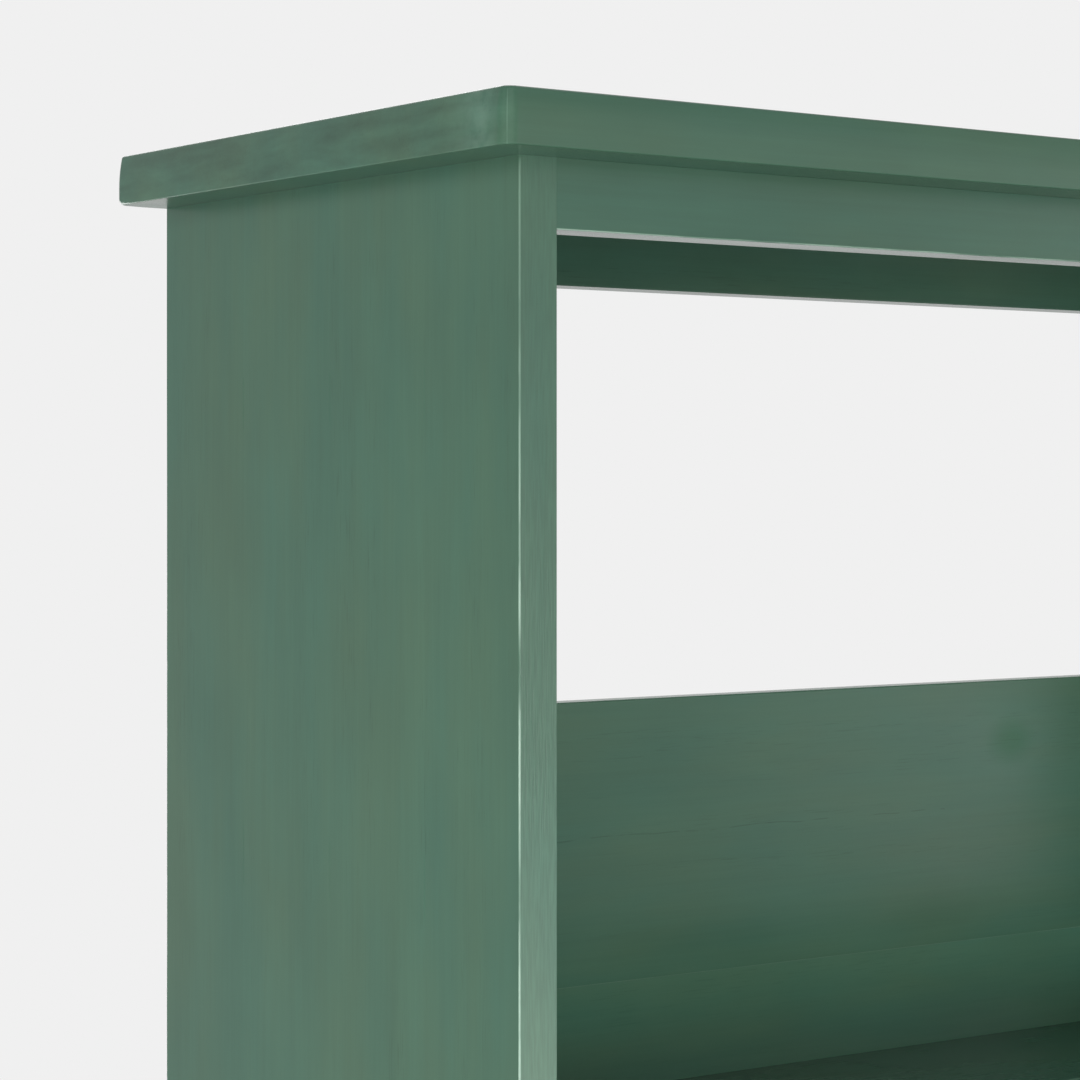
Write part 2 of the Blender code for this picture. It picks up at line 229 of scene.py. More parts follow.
@dataclass(frozen=True)
class Pattern:
    """Soft noise whose patches have a real size.

    Attributes:
        size_mm: A patch's size along, across and through the grain.
        seed: Moves the pattern.
        detail: How many finer layers the noise has.
        reach: The part of the noise that is stretched over 0 to 1, or None to leave it as it is.
    """

    size_mm: Place
    seed: float
    detail: float
    reach: Span | None = None

    SEED_STEPS = (3.71, 5.37, 7.93)

    def lay(self, tree: Tree, place_mm: Socket, seed: float = 0.0) -> Socket:
        """Lays the pattern in a material.

        Args:
            tree: The material's tree.
            place_mm: Place along, across and through the grain in millimetres.
            seed: Moves the pattern further, so that boards differ.

        Returns:
            The noise, about 0.5 with most of it between 0.3 and 0.7, or its reach stretched over 0 to 1.
        """
        shift = tuple((seed + self.seed) * step for step in self.SEED_STEPS)
        scale = tuple(1.0 / size for size in self.size_mm)
        spot = add_node(tree, "ShaderNodeMapping", {"Vector": place_mm, "Location": shift, "Scale": scale})
        noise = add_node(tree, "ShaderNodeTexNoise", {"Vector": spot, "Scale": 1.0, "Detail": self.detail})
        if self.reach is None:
            return noise
        low, high = self.reach
        return add_node(tree, "ShaderNodeMapRange", {"Value": noise, "From Min": low, "From Max": high})


@dataclass(frozen=True)
class Knot:
    """A knot under the paint: its middle along and across the grain and its radius, in millimetres."""

    along: float
    across: float
    radius: float

    SQUASH = (0.75, 1.0, 0.0)
    CORE = (0.15, 1.2)
    HALO = (0.9, 2.9)


@dataclass(frozen=True)
class Check:
    """A hairline drying check: its ends along the grain, place across it and width, in millimetres."""

    start: float
    end: float
    across: float
    width: float = 0.35


@dataclass(frozen=True)
class PaintedPine:
    """Pine staves glued edge to edge, planed and brushed with satin grey-green paint.

    The paint is thin: each stave keeps a tone of its own, and fibres, pores and knots show as slight
    darker or paler marks along the grain. Brush hairs leave fine furrows the same way. Real fibres,
    pores and furrows are too fine to show, so theirs are drawn as coarse as they need to be.

    Attributes:
        grain: The axis of the fibres.
        across: The axis across the board's face.
        seed: Moves the patterns, so that boards differ.
        stave_mm: Width of a stave.
        first_joint_mm: Place of one glue line between staves.
        knots: The knots that show.
        checks: The drying checks that show.
        mottle: Strength of the brush's patches on the end grain.
        painted_light: Scales the coat's lightness on this board: painted light and shading, the same paint
            drawn lighter or darker.
        relief: Strength of the furrows.
        edge_mm: Place across the grain of a raw edge where the fibres stand up more, far off for none.
        edge_fade_mm: Places along the grain between which the edge's streaks and paleness fade to EDGE_LEFT:
            paler towards the bottom, partly raw fibres and partly painted light.
    """

    grain: Axis
    across: Axis
    seed: int
    stave_mm: float = 80.5
    first_joint_mm: float = 13.0
    knots: tuple[Knot, ...] = ()
    checks: tuple[Check, ...] = ()
    mottle: float = 0.4
    painted_light: float = 1.0
    relief: float = 0.2
    edge_mm: float = -9000.0
    edge_fade_mm: Span = (740.0, 1100.0)

    PAINT = "#4E715B"
    PAINT_COOL = "#48715E"
    # Pale colour of worn paint and raw fibres, also drawn as painted highlights and painted light.
    PAINT_PALE = "#AECBB9"
    PAINT_KNOT = "#35694E"
    ROUGHNESS = 0.24
    ROUGHNESS_SPREAD = 0.12
    GLOSS = 0.23
    FILM = 0.1 * MM

    FIBRES = Pattern((70.0, 1.6, 1.6), 0.0, 3.0)
    STREAKS = Pattern((110.0, 5.0, 5.0), 6.3, 3.0)
    BANDS = Pattern((700.0, 26.0, 26.0), 1.3, 2.0)
    BLOTCHES = Pattern((80.0, 45.0, 45.0), 2.1, 3.0)
    END_PATCHES = Pattern((34.0, 46.0, 9.0), 5.9, 4.0)
    HUES = Pattern((190.0, 48.0, 48.0), 3.3, 3.0, (0.36, 0.64))
    PALE_ARRIS_BREAKS = Pattern((45.0, 9.0, 9.0), 7.7, 3.0, (0.30, 0.55))
    PORES = Pattern((20.0, 0.9, 0.9), 4.7, 1.0, (0.60, 0.70))
    PORE_BANDS = Pattern((420.0, 17.0, 17.0), 4.1, 1.0, (0.48, 0.66))
    EDGE_STREAKS = Pattern((16.0, 2.0, 1.0), 2.9, 2.0, (0.36, 0.64))
    CHECK_SWAY = Pattern((60.0, 400.0, 400.0), 9.1, 2.0)
    CHECK_GAPS = Pattern((16.0, 90.0, 90.0), 9.7, 1.0, (0.44, 0.54))
    STROKES = Pattern((240.0, 2.6, 2.6), 8.9, 2.0)

    EDGE_TONE = 0.42
    STAVE_TONE = 0.03
    FIBRE_TONE = 0.10
    STREAK_TONE = 0.11
    BAND_TONE = 0.14
    BLOTCH_TONE = 0.20
    HALO_TONE = 0.08
    PORE_TONE = -0.12
    CHECK_TONE = -0.2
    NO_TONE = 0.5

    STROKE_RELIEF = 1.0
    FIBRE_RELIEF = 0.6
    EDGE_RELIEF = 2.0
    PORE_RELIEF = -0.5
    KNOT_RELIEF = 0.3

    EDGE_REACH_MM = 0.6
    EDGE_LEFT = 0.25
    EDGE_FALL = 2.0
    EDGE_PALE = 0.48
    SWAY_MM = 5.0
    STAVE_SEED_STEP = 11.3

    def material(self, name: str) -> bpy.types.Material:
        """Builds the paint for one board.

        Args:
            name: The material's name.

        Returns:
            The material, on Object coordinates and the mesh's "arris" attribute.
        """
        paint = new_material(name)
        PaintLayers(self, paint.node_tree, self.place(paint.node_tree)).brush()
        return paint

    def place(self, tree: Tree) -> Socket:
        """Turns the piece's own place into millimetres along, across and through the grain.

        Args:
            tree: The material's tree.

        Returns:
            The place.
        """
        spot = add_node(tree, "ShaderNodeTexCoord", out="Object")
        parts = add_node(tree, "ShaderNodeSeparateXYZ", {0: spot}).node.outputs
        order = [self.grain.value, self.across.value]
        order += [axis.value for axis in Axis if axis.value not in order]
        turned = add_node(tree, "ShaderNodeCombineXYZ", {i: parts[axis] for i, axis in enumerate(order)})
        return add_node(tree, "ShaderNodeVectorMath", {0: turned, "Scale": 1.0 / MM}, operation="SCALE")


@dataclass(frozen=True)
class PaintLayers:
    """The layers of one board's paint in its material's tree.

    Attributes:
        pine: The board's finish.
        tree: The material's tree.
        place_mm: Place along, across and through the grain in millimetres.
    """

    pine: PaintedPine
    tree: Tree
    place_mm: Socket

    def brush(self) -> None:
        """Lays every layer: colour, knots, tone, pale arrises of worn paint and painted highlights, sheen
        and relief.
        """
        pine, tree = self.pine, self.tree
        cores = self.knots(Knot.CORE)
        fibres = self.lay(pine.FIBRES)
        blotches = self.lay(pine.BLOTCHES)
        pores = self.pores()
        raised, raw = self.raw_and_lit_edge()
        even = (
            (raised, pine.EDGE_TONE),
            (self.staves(), pine.STAVE_TONE),
            (fibres, pine.FIBRE_TONE),
            (self.lay(pine.STREAKS), pine.STREAK_TONE),
            (self.lay(pine.BANDS), pine.BAND_TONE),
            (blotches, pine.BLOTCH_TONE),
            (self.end_patches(), pine.mottle),
        )
        marks = (
            (self.knots(Knot.HALO), pine.HALO_TONE),
            (pores, pine.PORE_TONE),
            (self.checks(), pine.CHECK_TONE),
        )
        # The tone starts from the board's painted light: the same paint drawn lighter or darker per board,
        # standing in for light and shading.
        tone = self.pile(even + marks, pine.painted_light - sum(weight for _, weight in even) * pine.NO_TONE)
        # Paleness mixed towards the pale colour: worn paint and raw fibres, plus painted highlights on front
        # arrises and corners and painted light on a low edge.
        arris = add_node(tree, "ShaderNodeAttribute", out="Fac", attribute_name="arris")
        wear_and_highlight = add_node(tree, "ShaderNodeMath", {0: arris, 1: self.lay(pine.PALE_ARRIS_BREAKS)}, operation="MULTIPLY")
        pale = {0: raw, 1: pine.EDGE_PALE, 2: wear_and_highlight}
        thin = add_node(tree, "ShaderNodeMath", pale, operation="MULTIPLY_ADD")
        colour = linear(pine.PAINT)
        for share, code in ((self.lay(pine.HUES), pine.PAINT_COOL), (cores, pine.PAINT_KNOT)):
            mix = {0: share, COLOUR_A: colour, COLOUR_B: linear(code)}
            colour = add_node(tree, "ShaderNodeMix", mix, COLOUR_OUT, data_type="RGBA")
        toned = add_node(tree, "ShaderNodeVectorMath", {0: colour, "Scale": tone}, operation="SCALE")
        mix = {0: thin, COLOUR_A: toned, COLOUR_B: linear(pine.PAINT_PALE)}
        sheen = {0: blotches, 1: pine.ROUGHNESS_SPREAD, 2: pine.ROUGHNESS - pine.ROUGHNESS_SPREAD / 2}
        reliefs = (
            (self.lay(pine.STROKES), pine.STROKE_RELIEF),
            (fibres, pine.FIBRE_RELIEF),
            (raised, pine.EDGE_RELIEF),
            (pores, pine.PORE_RELIEF),
            (cores, pine.KNOT_RELIEF),
        )
        film = {"Strength": pine.relief, "Distance": pine.FILM, "Height": self.pile(reliefs, 0.0)}
        feeds = {
            "Base Color": add_node(tree, "ShaderNodeMix", mix, COLOUR_OUT, data_type="RGBA"),
            "Specular IOR Level": pine.GLOSS,
            "Roughness": add_node(tree, "ShaderNodeMath", sheen, operation="MULTIPLY_ADD"),
            "Normal": add_node(tree, "ShaderNodeBump", film),
        }
        surface = add_node(tree, "ShaderNodeBsdfPrincipled", feeds)
        add_node(tree, "ShaderNodeOutputMaterial", {"Surface": surface})

    def lay(self, pattern: Pattern) -> Socket:
        """Lays one pattern, moved by the board's seed."""
        return pattern.lay(self.tree, self.place_mm, self.pine.seed)

    def parts(self) -> Sockets:
        """Splits the place into its distances along, across and through the grain."""
        return add_node(self.tree, "ShaderNodeSeparateXYZ", {0: self.place_mm}).node.outputs

    def pile(self, marks: Sequence[tuple[Mark, float]], start: Mark) -> Mark:
        """Adds marks up, each by its weight.

        Args:
            marks: The marks and their weights.
            start: What they are added to.

        Returns:
            The sum.
        """
        for mark, weight in marks:
            start = add_node(
                self.tree, "ShaderNodeMath", {0: mark, 1: weight, 2: start}, operation="MULTIPLY_ADD"
            )
        return start

    def staves(self) -> Socket:
        """Gives each stave a random tone of its own.

        Returns:
            The tone, 0 to 1.
        """
        pine = self.pine
        number = self.parts()[1]
        for operation, amount in (
            ("SUBTRACT", pine.first_joint_mm),
            ("DIVIDE", pine.stave_mm),
            ("FLOOR", 0.0),
            ("ADD", pine.seed * pine.STAVE_SEED_STEP),
        ):
            number = add_node(self.tree, "ShaderNodeMath", {0: number, 1: amount}, operation=operation)
        return add_node(self.tree, "ShaderNodeTexWhiteNoise", {"W": number}, "Value", noise_dimensions="1D")

    def end_patches(self) -> Socket:
        """Draws the brush's patches on the end grain, which drank the paint unevenly.

        Returns:
            The patches, about 0.5 and just 0.5 off the ends.
        """
        tree, pine = self.tree, self.pine
        facing = add_node(tree, "ShaderNodeNewGeometry", out="Normal")
        sides = add_node(tree, "ShaderNodeSeparateXYZ", {0: facing}).node.outputs
        ends = add_node(tree, "ShaderNodeMath", {0: sides[pine.grain.value]}, operation="ABSOLUTE")
        patches = {0: ends, NUMBER_A: pine.NO_TONE, NUMBER_B: self.lay(pine.END_PATCHES)}
        return add_node(tree, "ShaderNodeMix", patches, data_type="FLOAT")

    def pores(self) -> Socket:
        """Draws short dark dashes along the grain, gathered in bands, 0 to 1."""
        dashes = {0: self.lay(self.pine.PORES), 1: self.lay(self.pine.PORE_BANDS)}
        return add_node(self.tree, "ShaderNodeMath", dashes, operation="MULTIPLY")

    def knots(self, reach: Span) -> Mark:
        """Marks the knots' dark cores or the soft halos round them.

        Args:
            reach: Shares of a knot's radius where the mark is still full and where it ends.

        Returns:
            The marks, 0 to 1, or 0 where the board has no knot.
        """
        marks: Mark = 0.0
        for knot in self.pine.knots:
            shift = (-knot.along * knot.SQUASH[0], -knot.across, 0.0)
            centred = {"Vector": self.place_mm, "Location": shift, "Scale": knot.SQUASH}
            away = add_node(self.tree, "ShaderNodeMapping", centred)
            distance = add_node(self.tree, "ShaderNodeVectorMath", {0: away}, "Value", operation="LENGTH")
            inner, outer = (share * knot.radius for share in reach)
            fall = {"Value": distance, "From Min": inner, "From Max": outer, "To Min": 1.0, "To Max": 0.0}
            mark = add_node(self.tree, "ShaderNodeMapRange", fall, interpolation_type="SMOOTHSTEP")
            marks = add_node(self.tree, "ShaderNodeMath", {0: marks, 1: mark}, operation="MAXIMUM")
        return marks

    def raw_and_lit_edge(self) -> tuple[Socket, Socket]:
        """Draws the fibres that stand up on the board's raw edge, and a paleness there that grows towards
        the bottom: partly raw fibres, partly painted light.

        Returns:
            The streaks, about 0.5 and just 0.5 off the edge, and how pale the edge is drawn, 0 to 1.
        """
        tree, pine = self.tree, self.pine
        along, across, _ = self.parts()
        near = {0: across, 1: pine.edge_mm, 2: pine.EDGE_REACH_MM}
        low, high = pine.edge_fade_mm
        fade = {"Value": along, "From Min": low, "From Max": high, "To Min": 1.0, "To Max": pine.EDGE_LEFT}
        both = {
            0: add_node(tree, "ShaderNodeMath", near, operation="COMPARE"),
            1: add_node(tree, "ShaderNodeMapRange", fade),
        }
        share = add_node(tree, "ShaderNodeMath", both, operation="MULTIPLY")
        streaks = {0: share, NUMBER_A: pine.NO_TONE, NUMBER_B: self.lay(pine.EDGE_STREAKS)}
        raised = add_node(tree, "ShaderNodeMix", streaks, data_type="FLOAT")
        # How pale the edge is drawn: raw fibres, and painted light that makes it paler towards the bottom.
        raw = add_node(tree, "ShaderNodeMath", {0: share, 1: pine.EDGE_FALL}, operation="POWER")
        return raised, raw

    def checks(self) -> Mark:
        """Marks the drying checks: thin dark lines that sway with the grain and break here and there.

        Returns:
            The lines, 0 to 1, or 0 where the board has none.
        """
        tree, pine = self.tree, self.pine
        lines: Mark = 0.0
        along, across, _ = self.parts()
        sway = {0: self.lay(pine.CHECK_SWAY), 1: pine.SWAY_MM, 2: across}
        aside = add_node(tree, "ShaderNodeMath", sway, operation="MULTIPLY_ADD")
        gaps = self.lay(pine.CHECK_GAPS)
        for check in pine.checks:
            near = {0: aside, 1: check.across + pine.SWAY_MM / 2, 2: check.width}
            inside = {0: along, 1: (check.start + check.end) / 2, 2: (check.end - check.start) / 2}
            line = gaps
            for limits in (near, inside):
                within = add_node(tree, "ShaderNodeMath", limits, operation="COMPARE")
                line = add_node(tree, "ShaderNodeMath", {0: line, 1: within}, operation="MULTIPLY")
            lines = add_node(tree, "ShaderNodeMath", {0: lines, 1: line}, operation="MAXIMUM")
        return lines


@dataclass(frozen=True)
class SmallFinish:
    """The skin of a small turned part: two tones in a pattern, uneven gloss and a fine relief.

    Attributes:
        tones: The main colour and the second one.
        tint: Where the second colour shows.
        dulling: Where the surface is duller.
        dull: The least roughness and what the dulling adds.
        relief: What stands up.
        strength: How strongly it does.
        depth: How far it does.
        metallic: 1 for a metal.
    """

    tones: tuple[str, str]
    tint: Pattern
    dulling: Pattern
    dull: Span
    relief: Pattern
    strength: float
    depth: float
    metallic: float = 0.0

    def material(self, name: str) -> bpy.types.Material:
        """Builds the finish.

        Args:
            name: The material's name.

        Returns:
            The material, on Object coordinates.
        """
        made = new_material(name)
        tree = made.node_tree
        spot = add_node(tree, "ShaderNodeTexCoord", out="Object")
        place_mm = add_node(tree, "ShaderNodeVectorMath", {0: spot, "Scale": 1.0 / MM}, operation="SCALE")
        share, dulling, height = (p.lay(tree, place_mm) for p in (self.tint, self.dulling, self.relief))
        first, second = (linear(code) for code in self.tones)
        least, added = self.dull
        mix = {0: share, COLOUR_A: first, COLOUR_B: second}
        sheen = {0: dulling, 1: added, 2: least}
        raised = {"Strength": self.strength, "Distance": self.depth, "Height": height}
        feeds = {
            "Base Color": add_node(tree, "ShaderNodeMix", mix, COLOUR_OUT, data_type="RGBA"),
            "Metallic": self.metallic,
            "Roughness": add_node(tree, "ShaderNodeMath", sheen, operation="MULTIPLY_ADD"),
            "Normal": add_node(tree, "ShaderNodeBump", raised),
        }
        surface = add_node(tree, "ShaderNodeBsdfPrincipled", feeds)
        add_node(tree, "ShaderNodeOutputMaterial", {"Surface": surface})
        return made


@dataclass(frozen=True)
class TurnedBeech(SmallFinish):
    """Bare beech rod: pale pinkish tan with the short dark flecks that beech shows along the grain."""

    tones: tuple[str, str] = ("#C9A27C", "#8E6645")
    tint: Pattern = Pattern((3.0, 0.4, 3.0), 1.0, 1.0, (0.56, 0.70))
    dulling: Pattern = Pattern((9.0, 5.0, 9.0), 2.0, 2.0)
    dull: Span = (0.45, 0.2)
    relief: Pattern = Pattern((3.0, 0.4, 3.0), 1.0, 1.0, (0.56, 0.70))
    strength: float = 0.4
    depth: float = 0.05 * MM


@dataclass(frozen=True)
class ZincPlatedSteel(SmallFinish):
    """Bright zinc plate on steel: a silvery skin with faint warm clouds 2 mm wide that are duller."""

    tones: tuple[str, str] = ("#C3C6C8", "#C9C1A8")
    tint: Pattern = Pattern((2.0, 2.0, 2.0), 3.0, 3.0)
    dulling: Pattern = Pattern((2.0, 2.0, 2.0), 3.0, 3.0)
    dull: Span = (0.18, 0.3)
    relief: Pattern = Pattern((0.5, 0.5, 0.5), 5.0, 2.0)
    strength: float = 0.3
    depth: float = 0.02 * MM
    metallic: float = 1.0


@dataclass(frozen=True)
class MouldedNylon(SmallFinish):
    """Grey moulded nylon: a waxy plastic with pale scuffs of 3 mm and the fine grain of the mould."""

    tones: tuple[str, str] = ("#5B5B58", "#777672")
    tint: Pattern = Pattern((3.0, 3.0, 3.0), 7.0, 3.0)
    dulling: Pattern = Pattern((3.0, 3.0, 3.0), 7.0, 3.0)
    dull: Span = (0.38, 0.3)
    relief: Pattern = Pattern((0.4, 0.4, 0.4), 9.0, 1.0)
    strength: float = 0.3
    depth: float = 0.04 * MM


# Boards


@dataclass
class Board:
    """A planed board with hand-eased arrises: one rounded outline swept along a run.

    Attributes:
        node: The CAD node that the board stands for.
        run: The axis of the sweep.
        finish: The paint.
        arrises: Radii of the four long edges, turning left from the corner where both cross axes are high.
        wear_and_highlight: How pale each of them is drawn, 0 to 1: worn paint, and a painted highlight where
            set high.
        painted_shade_span: Places along the run over which that paleness darkens to a smaller share, a
            painted shading; past the end for none.
        ends: Radii of the arrises at the low and the high end, 0 for a sawn end.
        tenon: Length of the stub tenon at both ends, 0 for none.
        shoulder: How far the tenon is set in from the board's faces.
        joints: Places of glue lines between staves, along the board's wide cross axis.
        close_low: How far the low corner moves to close painted glue lines, for each axis.
        close_high: The same for the high corner.
        step: Distance between outlines along the run.
    """

    node: str
    run: Axis
    finish: PaintedPine
    arrises: Four
    wear_and_highlight: Four = (0.1, 0.1, 0.1, 0.1)
    painted_shade_span: Span = (9.0, 9.1)
    ends: Span = (0.0, 0.0)
    tenon: float = 0.0
    shoulder: float = 6.0 * MM
    joints: tuple[float, ...] = ()
    close_low: Place = (0.0, 0.0, 0.0)
    close_high: Place = (0.0, 0.0, 0.0)
    step: float = 6.0 * MM

    WEAR = 0.15
    WEAR_PITCH = 45.0 * MM
    NICK_EVERY = 0.3
    NICK_REACH = 3.0 * MM
    NICK_DEPTH = (0.1, 0.35)
    NICK_SEED = 500
    END_RUB = 0.15
    # Share of an arris's paleness left where it darkens: painted shading.
    RUB_LEFT = 0.3
    GROOVE_WIDTH = 0.5 * MM
    GROOVE_DEPTH = 0.16 * MM
    GROOVE_PITCH = 30.0 * MM
    GROOVE_SHOWN = 0.5
    GROOVE_SEED = 77
    SEEDS_EACH = 10

    def __post_init__(self) -> None:
        """Finds the body's low and high corners, with tenons left out and glue lines closed."""
        low, high = (np.array(corner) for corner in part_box(self.node))
        low[self.run.value] += self.tenon
        high[self.run.value] -= self.tenon
        self.low = low - np.array(self.close_low)
        self.high = high + np.array(self.close_high)

    def sections(self) -> list[Span]:
        """Plans the outlines along the run.

        Returns:
            For each outline its place and how far it is set in.
        """
        low, high = self.low[self.run.value], self.high[self.run.value]
        first, last = self.ends
        down, up = QUARTER_TURN[:0:-1], QUARTER_TURN[1:]
        rows = [(low + first * (1 - math.sin(t)), first * (1 - math.cos(t))) for t in down if first]
        count = max(2, round((high - low - first - last) / self.step) + 1)
        rows += [(place, 0.0) for place in np.linspace(low + first, high - last, count)]
        rows += [(high - last * (1 - math.sin(t)), last * (1 - math.cos(t))) for t in up if last]
        if self.tenon:
            rows = [(low - self.tenon, self.shoulder), (low, self.shoulder)] + rows
            rows += [(high, self.shoulder), (high + self.tenon, self.shoulder)]
        return rows

    def easing(self, places: np.ndarray) -> np.ndarray:
        """Wears the long arrises unevenly, with a small nick here and there.

        Args:
            places: The outlines' places along the run.

        Returns:
            The four radii at each place.
        """
        worn = np.empty((len(places), 4))
        length = np.ptp(places)
        for corner, radius in enumerate(self.arrises):
            seed = self.finish.seed * self.SEEDS_EACH + corner
            share = 1.0 + self.WEAR * wander(places, self.WEAR_PITCH, seed)
            draw = np.random.default_rng(seed + self.NICK_SEED)
            for spot in draw.uniform(places.min(), places.max(), int(length / self.NICK_EVERY)):
                depth = draw.uniform(*self.NICK_DEPTH)
                share += depth * np.exp(-(((places - spot) / self.NICK_REACH) ** 2))
            worn[:, corner] = radius * share
        return worn

    def marks(self, edge: int) -> list[Span]:
        """Plans extra points on one flat of the outline.

        Args:
            edge: The flat, counted as the corners are.

        Returns:
            Place along the flat and share of the groove's depth, in the order of travel.
        """
        first, second = self.run.crossing()
        wide = max(second, first, key=lambda i: self.high[i] - self.low[i])
        along = first if edge % 2 == 0 else second
        if along != wide:
            return []
        rows = [
            (joint + side * self.GROOVE_WIDTH, 1.0 - abs(side))
            for joint in sorted(self.joints)
            for side in (-1, 0, 1)
        ]
        return rows if edge in (2, 3) else rows[::-1]

    def outline(
        self, inset: float, radii: Sequence[float], groove: float
    ) -> tuple[list[Span], list[float]]:
        """Draws one outline.

        Args:
            inset: How far the outline is set in.
            radii: The four corner radii.
            groove: Depth of the glue lines here.

        Returns:
            Points on the two cross axes, turning left, and how far each is up on an arris.
        """
        cross = list(self.run.crossing())
        near = self.low[cross] + inset
        far = self.high[cross] - inset
        points: list[Span] = []
        easing: list[float] = []
        for corner, sign in enumerate(CORNER_SIGNS):
            radius = max(radii[corner] - inset, LEAST_RADIUS)
            centre = [(far if s > 0 else near)[i] - s * radius for i, s in enumerate(sign)]
            for turn in QUARTER_TURN:
                angle = corner * math.pi / 2 + turn
                points.append((centre[0] + radius * math.cos(angle), centre[1] + radius * math.sin(angle)))
                easing.append(self.wear_and_highlight[corner] * math.sin(2 * turn))
            for place, share in self.marks(corner):
                dip = groove * share
                if corner % 2 == 0:
                    points.append((place, far[1] - dip if corner == 0 else near[1] + dip))
                else:
                    points.append((near[0] + dip if corner == 1 else far[0] - dip, place))
                easing.append(0.0)
        return points, easing

    def build(self) -> bpy.types.Object:
        """Sweeps the board, paints it and puts it on the frame.

        Returns:
            The finished piece.
        """
        rows = self.sections()
        places = np.array([place for place, _ in rows])
        radii = self.easing(places)
        depths = self.GROOVE_SHOWN + wander(places, self.GROOVE_PITCH, self.finish.seed + self.GROOVE_SEED)
        points, easing = [], []
        for (place, inset), corner_radii, share in zip(rows, radii, np.clip(depths, 0.0, 1.0)):
            drawn, eased = self.outline(inset, corner_radii, self.GROOVE_DEPTH * share)
            ring = np.empty((len(drawn), 3))
            ring[:, self.run.crossing()] = drawn
            ring[:, self.run.value] = place
            points.append(ring)
            # Pale arris marks darken over their span along the run: painted shading where less light falls.
            worn = np.array(eased) * np.interp(place, self.painted_shade_span, (1.0, self.RUB_LEFT))
            easing.append(np.maximum(worn, self.END_RUB if self.on_end_arris(place) else 0.0))
        return self.skin(np.array(points), np.array(easing))

    def on_end_arris(self, place: float) -> bool:
        """Tells whether an outline at this place along the run lies on one of the rounded ends."""
        start, stop = self.low[self.run.value], self.high[self.run.value]
        return start < place < start + self.ends[0] or stop - self.ends[1] < place < stop

    def skin(self, points: np.ndarray, easing: np.ndarray) -> bpy.types.Object:
        """Joins the outlines into a closed mesh, whose two caps carry no pale arris marks.

        Args:
            points: The outlines, each a row of points.
            easing: How far each point is up on an arris.

        Returns:
            The finished piece.
        """
        name = f"{self.node}_painted"
        rings, count, _ = points.shape
        easing[[0, -1]] = 0.0
        faces = [tuple(reversed(range(count))), tuple((rings - 1) * count + i for i in range(count))]
        for ring in range(rings - 1):
            for i in range(count):
                after = (i + 1) % count
                here, there = ring * count, (ring + 1) * count
                faces.append((here + i, here + after, there + after, there + i))
        mesh = bpy.data.meshes.new(name)
        mesh.from_pydata(points.reshape(-1, 3).tolist(), [], faces)
        arris = mesh.attributes.new("arris", "FLOAT", "POINT")
        arris.data.foreach_set("value", easing.reshape(-1).astype(np.float32))
        mesh.shade_smooth()
        mesh.set_sharp_from_angle(angle=SMOOTH_BELOW)
        mesh.materials.append(self.finish.material(name))
        piece = add_object(name, mesh)
        flat = piece.modifiers.new("flat_faces", "WEIGHTED_NORMAL")
        flat.keep_sharp = True
        settle(piece)
        return enter(piece, "green_paint", [self.node])


